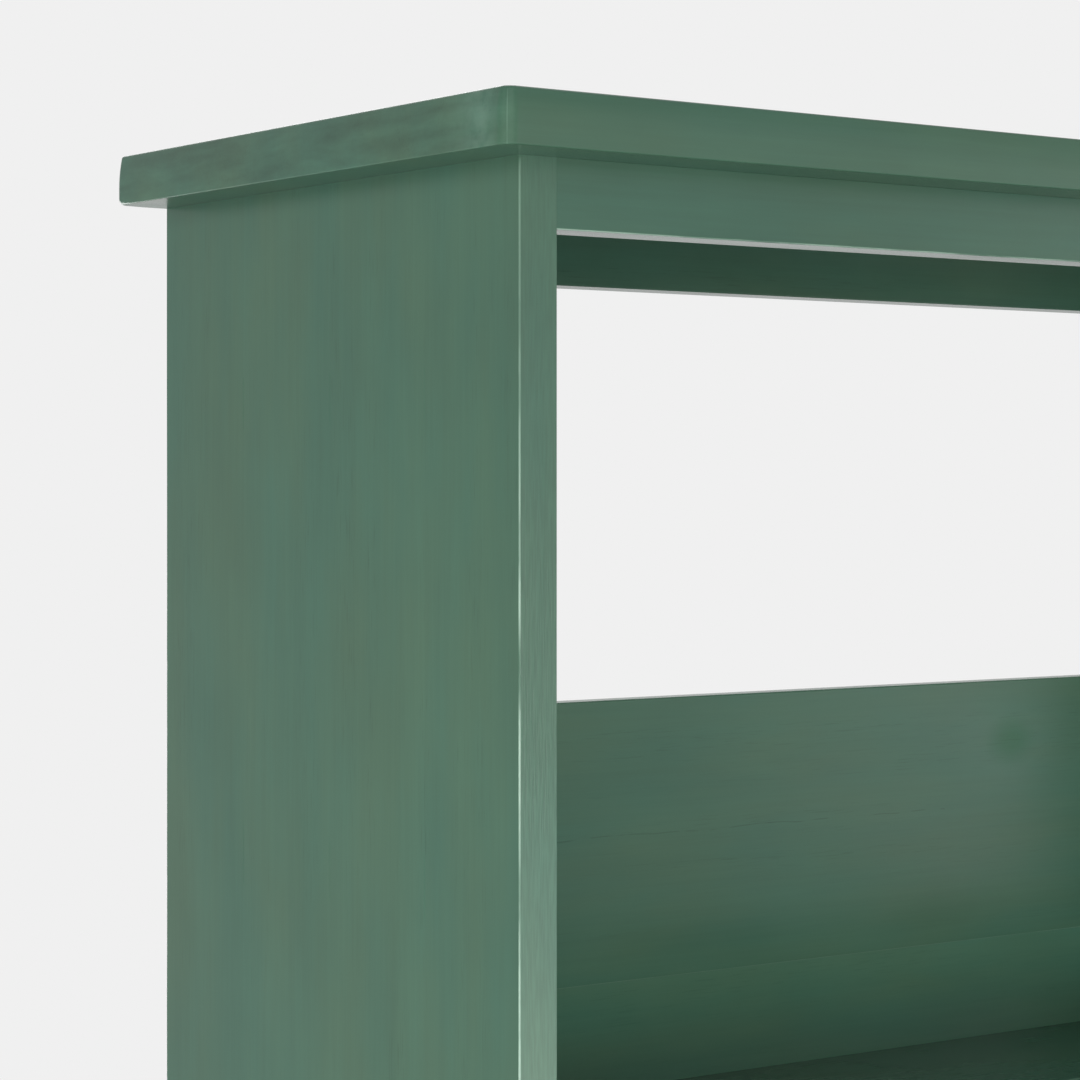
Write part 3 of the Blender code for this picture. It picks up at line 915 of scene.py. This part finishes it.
@dataclass
class TopBoard(Board):
    """The top: its plan swept up through an edge profile that is fuller below than above.

    The arrises are the plan's corner radii and the ends are the radii of the lower and the upper edge.

    Attributes:
        lean: How far the edge draws in from its fullest line up to the upper arris.
        fullest: Height of the fullest line as a share of the thickness.
        knocked: How much rounder the lower edge is at the two back corners.
        end_rub: How far the paint is worn pale on both ends beside the front corners.
    """

    lean: float = 1.3 * MM
    fullest: float = 0.35
    knocked: float = 2.6 * MM
    end_rub: float = 0.22

    RIM_STEP = 10.0 * MM
    CORNER_STEPS = 36
    END_RUB_REACH = 42.0 * MM
    KNOCK_REACH = 9.0 * MM

    def rim(self) -> tuple[np.ndarray, np.ndarray, np.ndarray]:
        """Draws the plan at its fullest line, turning left.

        Returns:
            The points, the directions that they face, and how pale each is drawn: paint patches beside the
            front corners and a painted highlight line down each front corner.
        """
        low, high = self.low, self.high
        shares = np.linspace(0.0, 1.0, self.CORNER_STEPS + 1)
        arcs, facings = [], []
        for corner, sign in enumerate(np.array(CORNER_SIGNS)):
            radius = self.arrises[corner]
            turns = (corner + shares) * math.pi / 2
            facing = np.stack((np.cos(turns), np.sin(turns)), axis=1)
            arcs.append(np.where(sign > 0, high[:2], low[:2]) - sign * radius + radius * facing)
            facings.append(facing)
        peak = np.maximum(0.0, 1.0 - np.abs(shares - 0.5) * self.CORNER_STEPS)
        points, faces, wear_and_highlight_marks = [], [], []
        for corner, (arc, facing) in enumerate(zip(arcs, facings)):
            points.append(arc)
            faces.append(facing)
            wear_and_highlight_marks.append(peak * self.wear_and_highlight[corner])
            side = arcs[(corner + 1) % len(arcs)][0] - arc[-1]
            steps = np.linspace(0.0, 1.0, round(np.linalg.norm(side) / self.RIM_STEP) + 1)[1:-1]
            points.append(arc[-1] + steps[:, None] * side)
            faces.append(np.tile(facing[-1], (len(steps), 1)))
            beside = 1.0 - (points[-1][:, 1] - low[1]) / self.END_RUB_REACH
            wear_and_highlight_marks.append(np.clip(beside, 0.0, 1.0) * self.end_rub * abs(facing[-1][0]))
        return np.concatenate(points), np.concatenate(faces), np.concatenate(wear_and_highlight_marks)

    def build(self) -> bpy.types.Object:
        """Sweeps the plan up through the edge profile, paints the board and puts it on the frame.

        Returns:
            The finished piece.
        """
        low, high = self.low, self.high
        rim, facing, wear_and_highlight_marks = self.rim()
        edge, upper = self.ends
        backs = [np.linalg.norm(rim - np.array((x, high[1])), axis=1) for x in (low[0], high[0])]
        lower = edge + self.knocked * np.exp(-((np.minimum(*backs) / self.KNOCK_REACH) ** 2))
        even = np.ones(len(rim))
        full = low[2] + self.fullest * (high[2] - low[2])
        start = high[2] - upper
        rows = [(low[2] + lower * (1 - math.sin(t)), lower * (1 - math.cos(t))) for t in QUARTER_TURN[::-1]]
        for share in np.linspace(0.0, 1.0, ARC_STEPS + 1)[:-1]:
            rows.append(((full + share * (start - full)) * even, self.lean * share**2 * even))
        for t in QUARTER_TURN:
            inset = self.lean + upper * (1 - math.cos(t))
            rows.append(((start + upper * math.sin(t)) * even, inset * even))
        points = [np.column_stack((rim - facing * inset[:, None], place)) for place, inset in rows]
        return self.skin(np.array(points), np.tile(wear_and_highlight_marks, (len(rows), 1)))


# Sub-assemblies


def paint_node(name: str, paint: PaintedPine) -> None:
    """Paints a CAD node whose own shape is shown.

    Args:
        name: The node's name.
        paint: Its paint.
    """
    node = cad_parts[name]
    node.data.materials[0] = paint.material(f"{node.name}_paint")


def paint_cleats(level: str, seed: int) -> None:
    """Paints the two cleats under a shelf.

    Args:
        level: The shelf, "tray" or "lower".
        seed: Moves the patterns.
    """
    for step, side in enumerate(("left", "right")):
        paint = PaintedPine(Axis.Y, Axis.Z, seed + step, ONE_STAVE_MM)
        paint_node(f"{level}_cleat_{side}", paint)


@dataclass
class TopFrame:
    """The overhanging top, the two rails under it and the corner blocks that hold it down."""

    plan_front: float = 7.0 * MM
    plan_back: float = 4.6 * MM
    edge_lower: float = 0.8 * MM
    edge_upper: float = 1.6 * MM
    # A thin pale line down the middle of each front plan corner: a painted highlight.
    corner_rub: float = 0.2
    top_knots: tuple[Knot, ...] = (Knot(260.0, -60.0, 8.0), Knot(-330.0, 70.0, 11.0))
    top_mottle: float = 1.0
    # The top's coat is drawn a little darker: painted shading, the same paint as the other boards.
    top_shade: float = 0.95
    rail_arris: float = 0.7 * MM
    # The front rail's lower front arris is drawn pale at its left end, darkening to the right: a painted
    # highlight fading into painted shading.
    rail_rub: float = 1.0
    rail_rub_fade: Span = (-0.2, 0.2)
    # The rails' coats are drawn a little darker: painted shading, the same paint as the other boards.
    rail_shade: float = 0.91
    hidden_arris: float = 0.15 * MM
    tenon: float = STUB_TENON
    block_joint_mm: float = -1000.0

    def build(self) -> list[bpy.types.Object]:
        """Makes the top and its rails and paints the blocks.

        Returns:
            The new pieces.
        """
        pine = PaintedPine(
            Axis.X, Axis.Y, seed=3, knots=self.top_knots, mottle=self.top_mottle, painted_light=self.top_shade
        )
        plan = (self.plan_back, self.plan_back, self.plan_front, self.plan_front)
        wear_and_highlight = (0.0, 0.0, self.corner_rub, self.corner_rub)
        edges = (self.edge_lower, self.edge_upper)
        made = [TopBoard("top_board", Axis.Z, pine, plan, wear_and_highlight, ends=edges).build()]
        for seed, node, edge_highlight in ((5, "top_front_rail", self.rail_rub), (7, "top_back_rail", 0.0)):
            pine = PaintedPine(Axis.X, Axis.Z, seed, ONE_STAVE_MM, painted_light=self.rail_shade)
            made.append(self.rail(node, pine, edge_highlight))
        for seed, place in enumerate(("front_left", "front_right", "back_left", "back_right"), start=20):
            pine = PaintedPine(Axis.X, Axis.Y, seed, ONE_STAVE_MM, self.block_joint_mm)
            paint_node(f"corner_block_{place}", pine)
        return made

    def rail(self, node: str, pine: PaintedPine, edge_highlight: float) -> bpy.types.Object:
        """Makes one rail with its tenons, closed against the sides and the top.

        Args:
            node: The CAD node that the rail stands for.
            pine: The paint.
            edge_highlight: How pale the lower front arris is drawn: a painted highlight.

        Returns:
            The finished piece.
        """
        board = Board(
            node,
            Axis.X,
            pine,
            arrises=(self.hidden_arris, self.hidden_arris, self.rail_arris, self.rail_arris),
            wear_and_highlight=(0.0, 0.0, edge_highlight, 0.0),
            painted_shade_span=self.rail_rub_fade,
            tenon=self.tenon,
            close_low=CLOSED_ENDS,
            close_high=CLOSED_JOINT,
        )
        return board.build()


@dataclass
class SideBoards:
    """The two full-height side boards, each glued up from four staves."""

    outer_arris: float = 0.9 * MM
    inner_arris: float = 0.15 * MM
    foot_arris: float = 1.2 * MM
    front_edge: float = -141.0 * MM
    # The outer front arris is drawn as a pale line: a painted highlight, darkened near the top by painted
    # shading under the top's overhang.
    front_rub: float = 1.0
    back_rub: float = 0.1
    painted_shade_span: Span = (1.05, 1.15)
    joints: tuple[float, ...] = (-67.5 * MM, 13.0 * MM, 93.5 * MM)
    left_knots: tuple[Knot, ...] = (Knot(410.0, 60.0, 9.0),)
    right_knots: tuple[Knot, ...] = (Knot(880.0, -30.0, 10.0), Knot(390.0, 90.0, 7.0))
    step: float = 5.0 * MM

    def build(self) -> list[bpy.types.Object]:
        """Makes both boards.

        Returns:
            The new pieces.
        """
        inner, outer, front, back = self.inner_arris, self.outer_arris, self.front_rub, self.back_rub
        left = (11, self.left_knots, (inner, outer, outer, inner), (0.0, back, front, 0.0))
        right = (12, self.right_knots, (outer, inner, inner, outer), (back, 0.0, 0.0, front))
        made = []
        for side, (seed, knots, arrises, wear_and_highlight) in {"left": left, "right": right}.items():
            board = Board(
                f"{side}_side_board",
                Axis.Z,
                PaintedPine(Axis.Z, Axis.Y, seed, knots=knots, edge_mm=self.front_edge / MM),
                arrises,
                wear_and_highlight,
                self.painted_shade_span,
                ends=(self.foot_arris, 0.0),
                joints=self.joints,
                close_high=(0.0, 0.0, GLUE_LINE),
                step=self.step,
            )
            made.append(board.build())
        return made


@dataclass
class PottingTray:
    """The tray: a shelf behind a raised front rail, with two boards as its back, on two cleats."""

    arris: float = 1.0 * MM
    joint_arris: float = 0.15 * MM
    # A pale line on the lower back board's upper front arris: a painted highlight.
    joint_highlight: float = 0.4
    hidden_arris: float = 0.3 * MM
    corner_bead: float = 0.5 * MM
    # A pale line drawn along the shelf's back arris, where it meets the back board.
    bead_pale_line: float = 0.8
    tenon: float = STUB_TENON
    shelf_joint_mm: float = -38.0
    shelf_relief: float = 0.1
    upper_knot: Knot = Knot(118.0, 924.0, 16.0)
    upper_check: Check = Check(-290.0, 62.0, 885.0)
    # The back boards' coats are drawn much lighter: painted light inside the bay, the same paint as the
    # other boards.
    upper_shade: float = 1.27
    lower_knot: Knot = Knot(330.0, 770.0, 7.0)
    lower_shade: float = 1.44

    def build(self) -> list[bpy.types.Object]:
        """Makes the shelf, the front rail and the back boards and paints the cleats.

        Returns:
            The new pieces.
        """
        closed = {"close_low": CLOSED_ENDS, "close_high": CLOSED_ENDS}
        jointed = {"close_low": CLOSED_JOINT, "close_high": CLOSED_ENDS}
        joint, relief = self.shelf_joint_mm, self.shelf_relief
        shelf = PaintedPine(Axis.X, Axis.Y, seed=31, first_joint_mm=joint, relief=relief)
        rail = PaintedPine(Axis.X, Axis.Z, seed=33, stave_mm=ONE_STAVE_MM)
        upper = replace(
            rail, seed=35, knots=(self.upper_knot,), checks=(self.upper_check,), painted_light=self.upper_shade
        )
        lower = replace(rail, seed=37, knots=(self.lower_knot,), painted_light=self.lower_shade)
        eased, tight, hidden = self.arris, self.joint_arris, self.hidden_arris
        bead = (self.corner_bead, hidden, hidden, hidden)
        bead_pale_line = (self.bead_pale_line, 0.0, 0.0, 0.0)
        joint_highlight = (0.0, self.joint_highlight, 0.0, 0.0)
        boards = (
            Board("tray_shelf", Axis.X, shelf, bead, bead_pale_line, **closed),
            Board("tray_front_rail", Axis.X, rail, (eased,) * 4, tenon=self.tenon, **closed),
            Board("upper_back_board", Axis.X, upper, (eased, eased, tight, tight), **jointed),
            Board("lower_back_board", Axis.X, lower, (tight, tight, eased, eased), joint_highlight, **closed),
        )
        paint_cleats("tray", seed=41)
        return [board.build() for board in boards]


@dataclass
class LowShelf:
    """The low shelf with a rail under its front edge and one behind it, on two cleats."""

    arris: float = 1.2 * MM
    tenon: float = STUB_TENON
    joint_mm: float = -60.0
    knot: Knot = Knot(-120.0, 30.0, 9.0)

    def build(self) -> list[bpy.types.Object]:
        """Makes the shelf and its rails and paints the cleats.

        Returns:
            The new pieces.
        """
        closed = {"close_low": CLOSED_ENDS, "close_high": CLOSED_ENDS}
        eased = (self.arris,) * 4
        pine = PaintedPine(Axis.X, Axis.Y, seed=51, first_joint_mm=self.joint_mm, knots=(self.knot,))
        made = [Board("lower_shelf", Axis.X, pine, eased, **closed).build()]
        for seed, node in ((53, "lower_front_rail"), (55, "lower_back_rail")):
            pine = PaintedPine(Axis.X, Axis.Z, seed, ONE_STAVE_MM)
            made.append(Board(node, Axis.X, pine, eased, tenon=self.tenon, **closed).build())
        paint_cleats("lower", seed=61)
        return made


@dataclass
class Fixing:
    """A small turned part that repeats, stacked from cone stages by Geometry Nodes and set on points.

    Its float fields are its sizes, which the tree takes as named inputs.

    Attributes:
        name: The piece's name.
        slot: The name of its material slot, handed on to enter.
        finish: The skin.
        mark: What the names of its CAD nodes hold.
        seat: Where the fixing's origin lies on its axis.
        stages: From the low end up, each stage's lower radius, upper radius and height by name.
        sides: Facets round the axis.
        centre: Radius of a face's middle.
        flat: Height of a flat face's stage.
    """

    name: str
    slot: str
    finish: SmallFinish
    mark: str
    seat: Seat
    stages: Stages
    sides: int
    centre: float = 0.0
    flat: float = 0.01 * MM

    WELD = 1e-6

    def sizes(self) -> dict[str, float]:
        """Lists the sizes by name."""
        return {size.name: getattr(self, size.name) for size in fields(self) if size.type is float}

    def nodes(self) -> list[str]:
        """Lists the CAD nodes that the piece stands for."""
        return sorted(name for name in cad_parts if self.mark in name)

    def tree(self) -> Tree:
        """Builds the tree: the turned shape, its extras, one copy on each point.

        Returns:
            The tree, with the sizes and the material as named inputs.
        """
        tree = bpy.data.node_groups.new(f"{self.name}_tree", "GeometryNodeTree")
        labels = {"Geometry": "NodeSocketGeometry", "Material": "NodeSocketMaterial"}
        labels |= {size: "NodeSocketFloat" for size in self.sizes()}
        for label, kind in labels.items():
            tree.interface.new_socket(label, in_out="INPUT", socket_type=kind)
        tree.interface.new_socket("Geometry", in_out="OUTPUT", socket_type=labels["Geometry"])
        given = add_node(tree, "NodeGroupInput").node.outputs
        reach: Mark = 0.0
        cones = []
        for lower, upper, height in self.stages:
            cone = {"Radius Bottom": given[lower], "Radius Top": given[upper], "Depth": given[height]}
            stage = add_node(
                tree, "GeometryNodeMeshCone", {"Vertices": self.sides, **cone}, "Mesh", fill_type="NONE"
            )
            lift = add_node(tree, "ShaderNodeCombineXYZ", {2: reach})
            cones.append(add_node(tree, "GeometryNodeTransform", {"Geometry": stage, "Translation": lift}))
            reach = add_node(tree, "ShaderNodeMath", {0: reach, 1: given[height]}, operation="ADD")
        whole = add_node(tree, "GeometryNodeJoinGeometry", {0: cones})
        welded = add_node(tree, "GeometryNodeMergeByDistance", {"Geometry": whole, "Distance": self.WELD})
        drop = add_node(tree, "ShaderNodeMath", {0: reach, 1: -self.seat.value}, operation="MULTIPLY")
        shift = add_node(tree, "ShaderNodeCombineXYZ", {2: drop})
        seated = add_node(tree, "GeometryNodeTransform", {"Geometry": welded, "Translation": shift})
        dressed = self.extras(tree, given, seated)
        axis = add_node(tree, "GeometryNodeInputNamedAttribute", {"Name": "axis"}, data_type="FLOAT_VECTOR")
        turn = add_node(tree, "FunctionNodeAlignRotationToVector", {"Vector": axis}, axis="Z")
        setting = {"Points": given["Geometry"], "Instance": dressed, "Rotation": turn}
        copies = add_node(tree, "GeometryNodeInstanceOnPoints", setting)
        real = add_node(tree, "GeometryNodeRealizeInstances", {0: copies})
        clad = {"Geometry": real, "Material": given["Material"]}
        add_node(tree, "NodeGroupOutput", {0: add_node(tree, "GeometryNodeSetMaterial", clad)})
        return tree

    def extras(self, tree: Tree, given: Sockets, shape: Socket) -> Socket:
        """Leaves the turned shape as it is; a kind with more to it adds it here."""
        return shape

    def point(self, node: str) -> tuple[Vector, Vector]:
        """Finds where one fixing sits from its CAD node's box.

        Args:
            node: The CAD node.

        Returns:
            The seat, and the direction that the fixing points.
        """
        low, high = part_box(node)
        size = high - low
        seat = (low + high) / 2
        along = max(range(3), key=lambda i: size[i])
        if self.seat is Seat.FOOT:
            along = Axis.Z.value
            seat.z = low.z
        axis = Vector((0.0, 0.0, 0.0))
        axis[along] = 1.0
        return seat, axis

    def build(self) -> list[bpy.types.Object]:
        """Sets the fixings and makes them one plain mesh.

        Returns:
            The finished piece, as a list of one.
        """
        seats, axes = zip(*(self.point(node) for node in self.nodes()))
        mesh = bpy.data.meshes.new(self.name)
        mesh.from_pydata(seats, [], [])
        pointing = mesh.attributes.new("axis", "FLOAT_VECTOR", "POINT")
        pointing.data.foreach_set("vector", np.array(axes, dtype=np.float32).reshape(-1))
        piece = add_object(self.name, mesh)
        setting = piece.modifiers.new("set_on_points", "NODES")
        tree = self.tree()
        inputs = {item.name: item.identifier for item in tree.interface.items_tree if item.in_out == "INPUT"}
        setting.node_group = tree
        for size, value in self.sizes().items():
            setting[inputs[size]] = value
        setting[inputs["Material"]] = self.finish.material(f"{self.name}_finish")
        settle(piece)
        piece.data.shade_smooth()
        piece.data.set_sharp_from_angle(angle=SMOOTH_BELOW)
        return [enter(piece, self.slot, self.nodes())]


@dataclass
class Screws(Fixing):
    """Countersunk wood screws with a cross recess and a rolled thread."""

    name: str = "wood_screws"
    slot: str = "zinc_steel"
    finish: SmallFinish = ZincPlatedSteel()
    mark: str = "_screw"
    seat: Seat = Seat.HEAD
    stages: Stages = (
        ("centre", "tip", "flat"),
        ("tip", "shank", "tip_height"),
        ("shank", "shank", "shank_height"),
        ("shank", "head", "head_height"),
        ("head", "centre", "flat"),
    )
    sides: int = 24
    tip: float = 0.4 * MM
    shank: float = 1.5 * MM
    head: float = 4.0 * MM
    tip_height: float = 5.0 * MM
    shank_height: float = 22.5 * MM
    head_height: float = 2.49 * MM
    recess_length: float = 4.4 * MM
    recess_width: float = 1.0 * MM
    recess_depth: float = 3.0 * MM
    thread_start: float = 25.0 * MM
    thread_length: float = 19.0 * MM
    thread_pitch: float = 1.8 * MM
    thread_height: float = 0.4 * MM

    THREAD_STEPS = 12
    THREAD_SIDES = 3

    def point(self, node: str) -> tuple[Vector, Vector]:
        """Finds the middle of a head's face, on the side that the driver reaches.

        Args:
            node: The CAD node.

        Returns:
            The seat, and the direction that the head faces.
        """
        low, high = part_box(node)
        seat = (low + high) / 2
        if node.startswith("corner_block"):
            seat.z = low.z
            return seat, Vector((0.0, 0.0, -1.0))
        side = 1.0 if seat.x < 0 else -1.0
        seat.x = high.x if side > 0 else low.x
        return seat, Vector((side, 0.0, 0.0))

    def extras(self, tree: Tree, given: Sockets, shape: Socket) -> Socket:
        """Cuts the recess and winds the thread.

        Args:
            tree: The fixing's tree.
            given: The tree's inputs.
            shape: The turned screw, its head's face at the origin.

        Returns:
            The whole screw.
        """
        bars = []
        for length, width in (("recess_length", "recess_width"), ("recess_width", "recess_length")):
            sides = {0: given[length], 1: given[width], 2: given["recess_depth"]}
            size = add_node(tree, "ShaderNodeCombineXYZ", sides)
            bars.append(add_node(tree, "GeometryNodeMeshCube", {"Size": size}))
        cross = add_node(tree, "GeometryNodeJoinGeometry", {0: bars})
        cut = add_node(
            tree, "GeometryNodeMeshBoolean", {"Mesh 1": shape, "Mesh 2": cross}, operation="DIFFERENCE"
        )
        rounds = {0: given["thread_length"], 1: given["thread_pitch"]}
        path = {
            "Resolution": self.THREAD_STEPS,
            "Rotations": add_node(tree, "ShaderNodeMath", rounds, operation="DIVIDE"),
            "Start Radius": given["shank"],
            "End Radius": given["shank"],
            "Height": given["thread_length"],
        }
        helix = add_node(tree, "GeometryNodeCurveSpiral", path)
        section = {"Resolution": self.THREAD_SIDES, "Radius": given["thread_height"]}
        ridge = add_node(tree, "GeometryNodeCurvePrimitiveCircle", section)
        winding = {"Curve": helix, "Profile Curve": ridge, "Fill Caps": True}
        wound = add_node(tree, "GeometryNodeCurveToMesh", winding)
        depth = add_node(tree, "ShaderNodeMath", {0: given["thread_start"], 1: -1.0}, operation="MULTIPLY")
        lower = add_node(tree, "ShaderNodeCombineXYZ", {2: depth})
        thread = add_node(tree, "GeometryNodeTransform", {"Geometry": wound, "Translation": lower})
        return add_node(tree, "GeometryNodeJoinGeometry", {0: [cut, thread]})


@dataclass
class Dowels(Fixing):
    """Fluted dowels: the flutes let the glue rise out of the hole."""

    name: str = "fluted_dowels"
    slot: str = "bare_beech"
    finish: SmallFinish = TurnedBeech()
    mark: str = "_dowel"
    seat: Seat = Seat.MIDDLE
    stages: Stages = (
        ("centre", "nose", "flat"),
        ("nose", "rod", "chamfer"),
        ("rod", "rod", "length"),
        ("rod", "nose", "chamfer"),
        ("nose", "centre", "flat"),
    )
    sides: int = 64
    nose: float = 2.2 * MM
    rod: float = 2.9 * MM
    chamfer: float = 0.8 * MM
    length: float = 22.36 * MM
    flutes: float = 16.0
    flute_share: float = 0.03

    def extras(self, tree: Tree, given: Sockets, shape: Socket) -> Socket:
        """Presses the flutes in.

        Args:
            tree: The fixing's tree.
            given: The tree's inputs.
            shape: The turned rod.

        Returns:
            The fluted rod.
        """
        spot = add_node(tree, "GeometryNodeInputPosition")
        parts = add_node(tree, "ShaderNodeSeparateXYZ", {0: spot}).node.outputs
        angle = add_node(tree, "ShaderNodeMath", {0: parts[1], 1: parts[0]}, operation="ARCTAN2")
        turned = add_node(tree, "ShaderNodeMath", {0: angle, 1: given["flutes"]}, operation="MULTIPLY")
        wave = add_node(tree, "ShaderNodeMath", {0: turned}, operation="COSINE")
        pressing = {0: wave, 1: given["flute_share"], 2: 1.0}
        depth = add_node(tree, "ShaderNodeMath", pressing, operation="MULTIPLY_ADD")
        scale = add_node(tree, "ShaderNodeCombineXYZ", {0: depth, 1: depth, 2: 1.0})
        pressed = add_node(tree, "ShaderNodeVectorMath", {0: spot, 1: scale}, operation="MULTIPLY")
        return add_node(tree, "GeometryNodeSetPosition", {"Geometry": shape, "Position": pressed})


@dataclass
class Glides(Fixing):
    """Nail glides under the side boards: a round foot and a pin."""

    name: str = "nail_glides"
    slot: str = "grey_nylon"
    finish: SmallFinish = MouldedNylon()
    mark: str = "glide_"
    seat: Seat = Seat.FOOT
    stages: Stages = (
        ("centre", "sole", "flat"),
        ("sole", "body", "sole_height"),
        ("body", "body", "body_height"),
        ("body", "neck", "neck_height"),
        ("neck", "pin", "flat"),
        ("pin", "pin", "pin_height"),
        ("pin", "pin_nose", "pin_nose_height"),
        ("pin_nose", "centre", "flat"),
    )
    sides: int = 32
    sole: float = 7.5 * MM
    body: float = 9.0 * MM
    neck: float = 8.5 * MM
    pin: float = 1.45 * MM
    pin_nose: float = 0.8 * MM
    sole_height: float = 1.5 * MM
    body_height: float = 2.87 * MM
    neck_height: float = 0.6 * MM
    pin_height: float = 10.8 * MM
    pin_nose_height: float = 1.18 * MM


# Studio


@dataclass(frozen=True)
class Softbox:
    """A square studio lamp.

    Attributes:
        name: Its name.
        place: Where it hangs.
        side: Length of its side.
        power: Its power in watts.
        aim: The point that it faces.
        mirrors: Whether glossy surfaces mirror it.
    """

    name: str
    place: Place
    side: float
    power: float
    aim: Place = (0.0, 0.0, 0.85)
    mirrors: bool = True

    def build(self) -> None:
        """Hangs the lamp."""
        data = bpy.data.lights.new(self.name, "AREA")
        data.shape = "SQUARE"
        data.size = self.side
        data.energy = self.power
        lamp = add_object(self.name, data)
        lamp.location = self.place
        lamp.visible_camera = False
        lamp.visible_glossy = self.mirrors
        lamp.rotation_euler = (Vector(self.aim) - Vector(self.place)).to_track_quat("-Z", "Y").to_euler()


@dataclass
class Studio:
    """Pale floor and surround, soft lamps and the photograph's camera."""

    backdrop: str = "#F0F0F0"
    floor: str = "#E4E4E2"
    light: str = "#FFFFFF"
    ambient: float = 0.02
    floor_radius: float = 2.3
    floor_fade: float = 0.8
    camera_place: Place = (-1.2295, -1.2063, 1.0806)
    camera_turn: float = -35.84
    focal_pixels: float = 3037.0
    horizon_pixel: float = 489.83
    sensor_mm: float = 36.0
    lamps: tuple[Softbox, ...] = (
        Softbox("front_left_box", (-1.6, -2.2, 1.5), 2.0, 11.5),
        Softbox("front_box", (0.2, -2.6, 0.87), 0.4, 8.0),
        Softbox("front_right_box", (0.55, -2.4, 0.95), 0.7, 6.5),
        Softbox("high_right_box", (1.1, -2.2, 1.4), 1.2, 3.2),
        Softbox("far_right_box", (2.6, -2.0, 1.0), 1.2, 7.4),
        Softbox("far_high_box", (2.6, -2.0, 1.5), 1.2, 2.0),
        Softbox("near_left_box", (-1.5, -0.6, 0.6), 0.8, 6.2),
        Softbox("low_near_box", (-0.9, -1.3, 0.45), 0.5, 2.0),
        Softbox("left_box", (-2.4, -0.6, 1.35), 1.2, 16.5, mirrors=False),
        Softbox("bay_box", (1.6, -1.3, 0.8), 1.2, 1.8),
        Softbox("top_box", (0.0, 0.0, 3.2), 2.4, 15.0, aim=(0.0, 0.0, 0.0)),
        Softbox("back_box", (0.8, 2.4, 2.7), 1.4, 16.0),
        Softbox("low_back_box", (-0.4, 2.3, 0.6), 0.8, 10.0),
        Softbox("right_box", (2.8, 0.2, 1.4), 1.6, 15.0, mirrors=False),
    )

    FLOOR_SIDES = 96
    FLOOR_RIM = 0.98

    def build(self) -> None:
        """Sets up the surround, the floor, the lamps and the camera."""
        scene = bpy.context.scene
        scene.view_settings.view_transform = "Standard"
        self.surround(scene)
        self.lay_floor()
        for lamp in self.lamps:
            lamp.build()
        self.set_camera(scene)

    def surround(self, scene: bpy.types.Scene) -> None:
        """Makes the world pale to the eye and in reflections, and a plain soft light otherwise.

        Args:
            scene: The scene that gets the world.
        """
        world = bpy.data.worlds.new("studio_surround")
        world.use_nodes = True
        scene.world = world
        tree = world.node_tree
        tree.nodes.clear()
        seen = add_node(tree, "ShaderNodeLightPath", out="Is Camera Ray")
        rays = seen.node.outputs
        for ray in ("Is Glossy Ray", "Is Transmission Ray"):
            seen = add_node(tree, "ShaderNodeMath", {0: seen, 1: rays[ray]}, operation="MAXIMUM")
        lit = {"Color": linear(self.light), "Strength": self.ambient}
        pale = {"Color": linear(self.backdrop), "Strength": 1.0}
        shares = {0: seen}
        for place, feeds in enumerate((lit, pale), start=1):
            shares[place] = add_node(tree, "ShaderNodeBackground", feeds)
        mixed = add_node(tree, "ShaderNodeMixShader", shares)
        add_node(tree, "ShaderNodeOutputWorld", {"Surface": mixed})

    def lay_floor(self) -> None:
        """Lays a round matt floor that takes the shadow and fades into the surround at its rim."""
        turns = np.linspace(0.0, 2 * math.pi, self.FLOOR_SIDES, endpoint=False)
        rim = [(self.floor_radius * math.cos(t), self.floor_radius * math.sin(t), 0.0) for t in turns]
        mesh = bpy.data.meshes.new("studio_floor")
        mesh.from_pydata(rim, [], [tuple(range(len(rim)))])
        paper = new_material("studio_paper")
        tree = paper.node_tree
        spot = add_node(tree, "ShaderNodeTexCoord", out="Object")
        radius = add_node(tree, "ShaderNodeVectorMath", {0: spot}, "Value", operation="LENGTH")
        fade = {
            "Value": radius,
            "From Min": self.floor_fade,
            "From Max": self.floor_radius * self.FLOOR_RIM,
        }
        shares = {
            0: add_node(tree, "ShaderNodeMapRange", fade, interpolation_type="SMOOTHSTEP"),
            1: add_node(tree, "ShaderNodeBsdfDiffuse", {"Color": linear(self.floor)}),
            2: add_node(tree, "ShaderNodeBsdfTransparent"),
        }
        mixed = add_node(tree, "ShaderNodeMixShader", shares)
        add_node(tree, "ShaderNodeOutputMaterial", {"Surface": mixed})
        mesh.materials.append(paper)
        floor = add_object("studio_floor", mesh)

    def set_camera(self, scene: bpy.types.Scene) -> None:
        """Stands the level camera where the photograph was taken, with its lens raised the same way.

        Args:
            scene: The scene that gets the camera.
        """
        data = bpy.data.cameras.new("photo_camera")
        data.sensor_width = self.sensor_mm
        data.lens = self.focal_pixels / PHOTO_SIDE * self.sensor_mm
        data.shift_y = (self.horizon_pixel - PHOTO_SIDE / 2) / PHOTO_SIDE
        camera = add_object("photo_camera", data)
        camera.location = self.camera_place
        camera.rotation_euler = (math.pi / 2, 0.0, math.radians(self.camera_turn))
        scene.camera = camera


def main() -> None:
    """Builds the studio and every sub-assembly, and reports each piece."""
    logging.basicConfig(level=logging.INFO, format="%(name)s: %(message)s")
    Studio().build()
    wood = (TopFrame(), SideBoards(), PottingTray(), LowShelf())
    for assembly in (*wood, Screws(), Dowels(), Glides()):
        for piece in assembly.build():
            log.info("%s: %d faces", piece.name, len(piece.data.polygons))


if __name__ == "__main__":
    main()
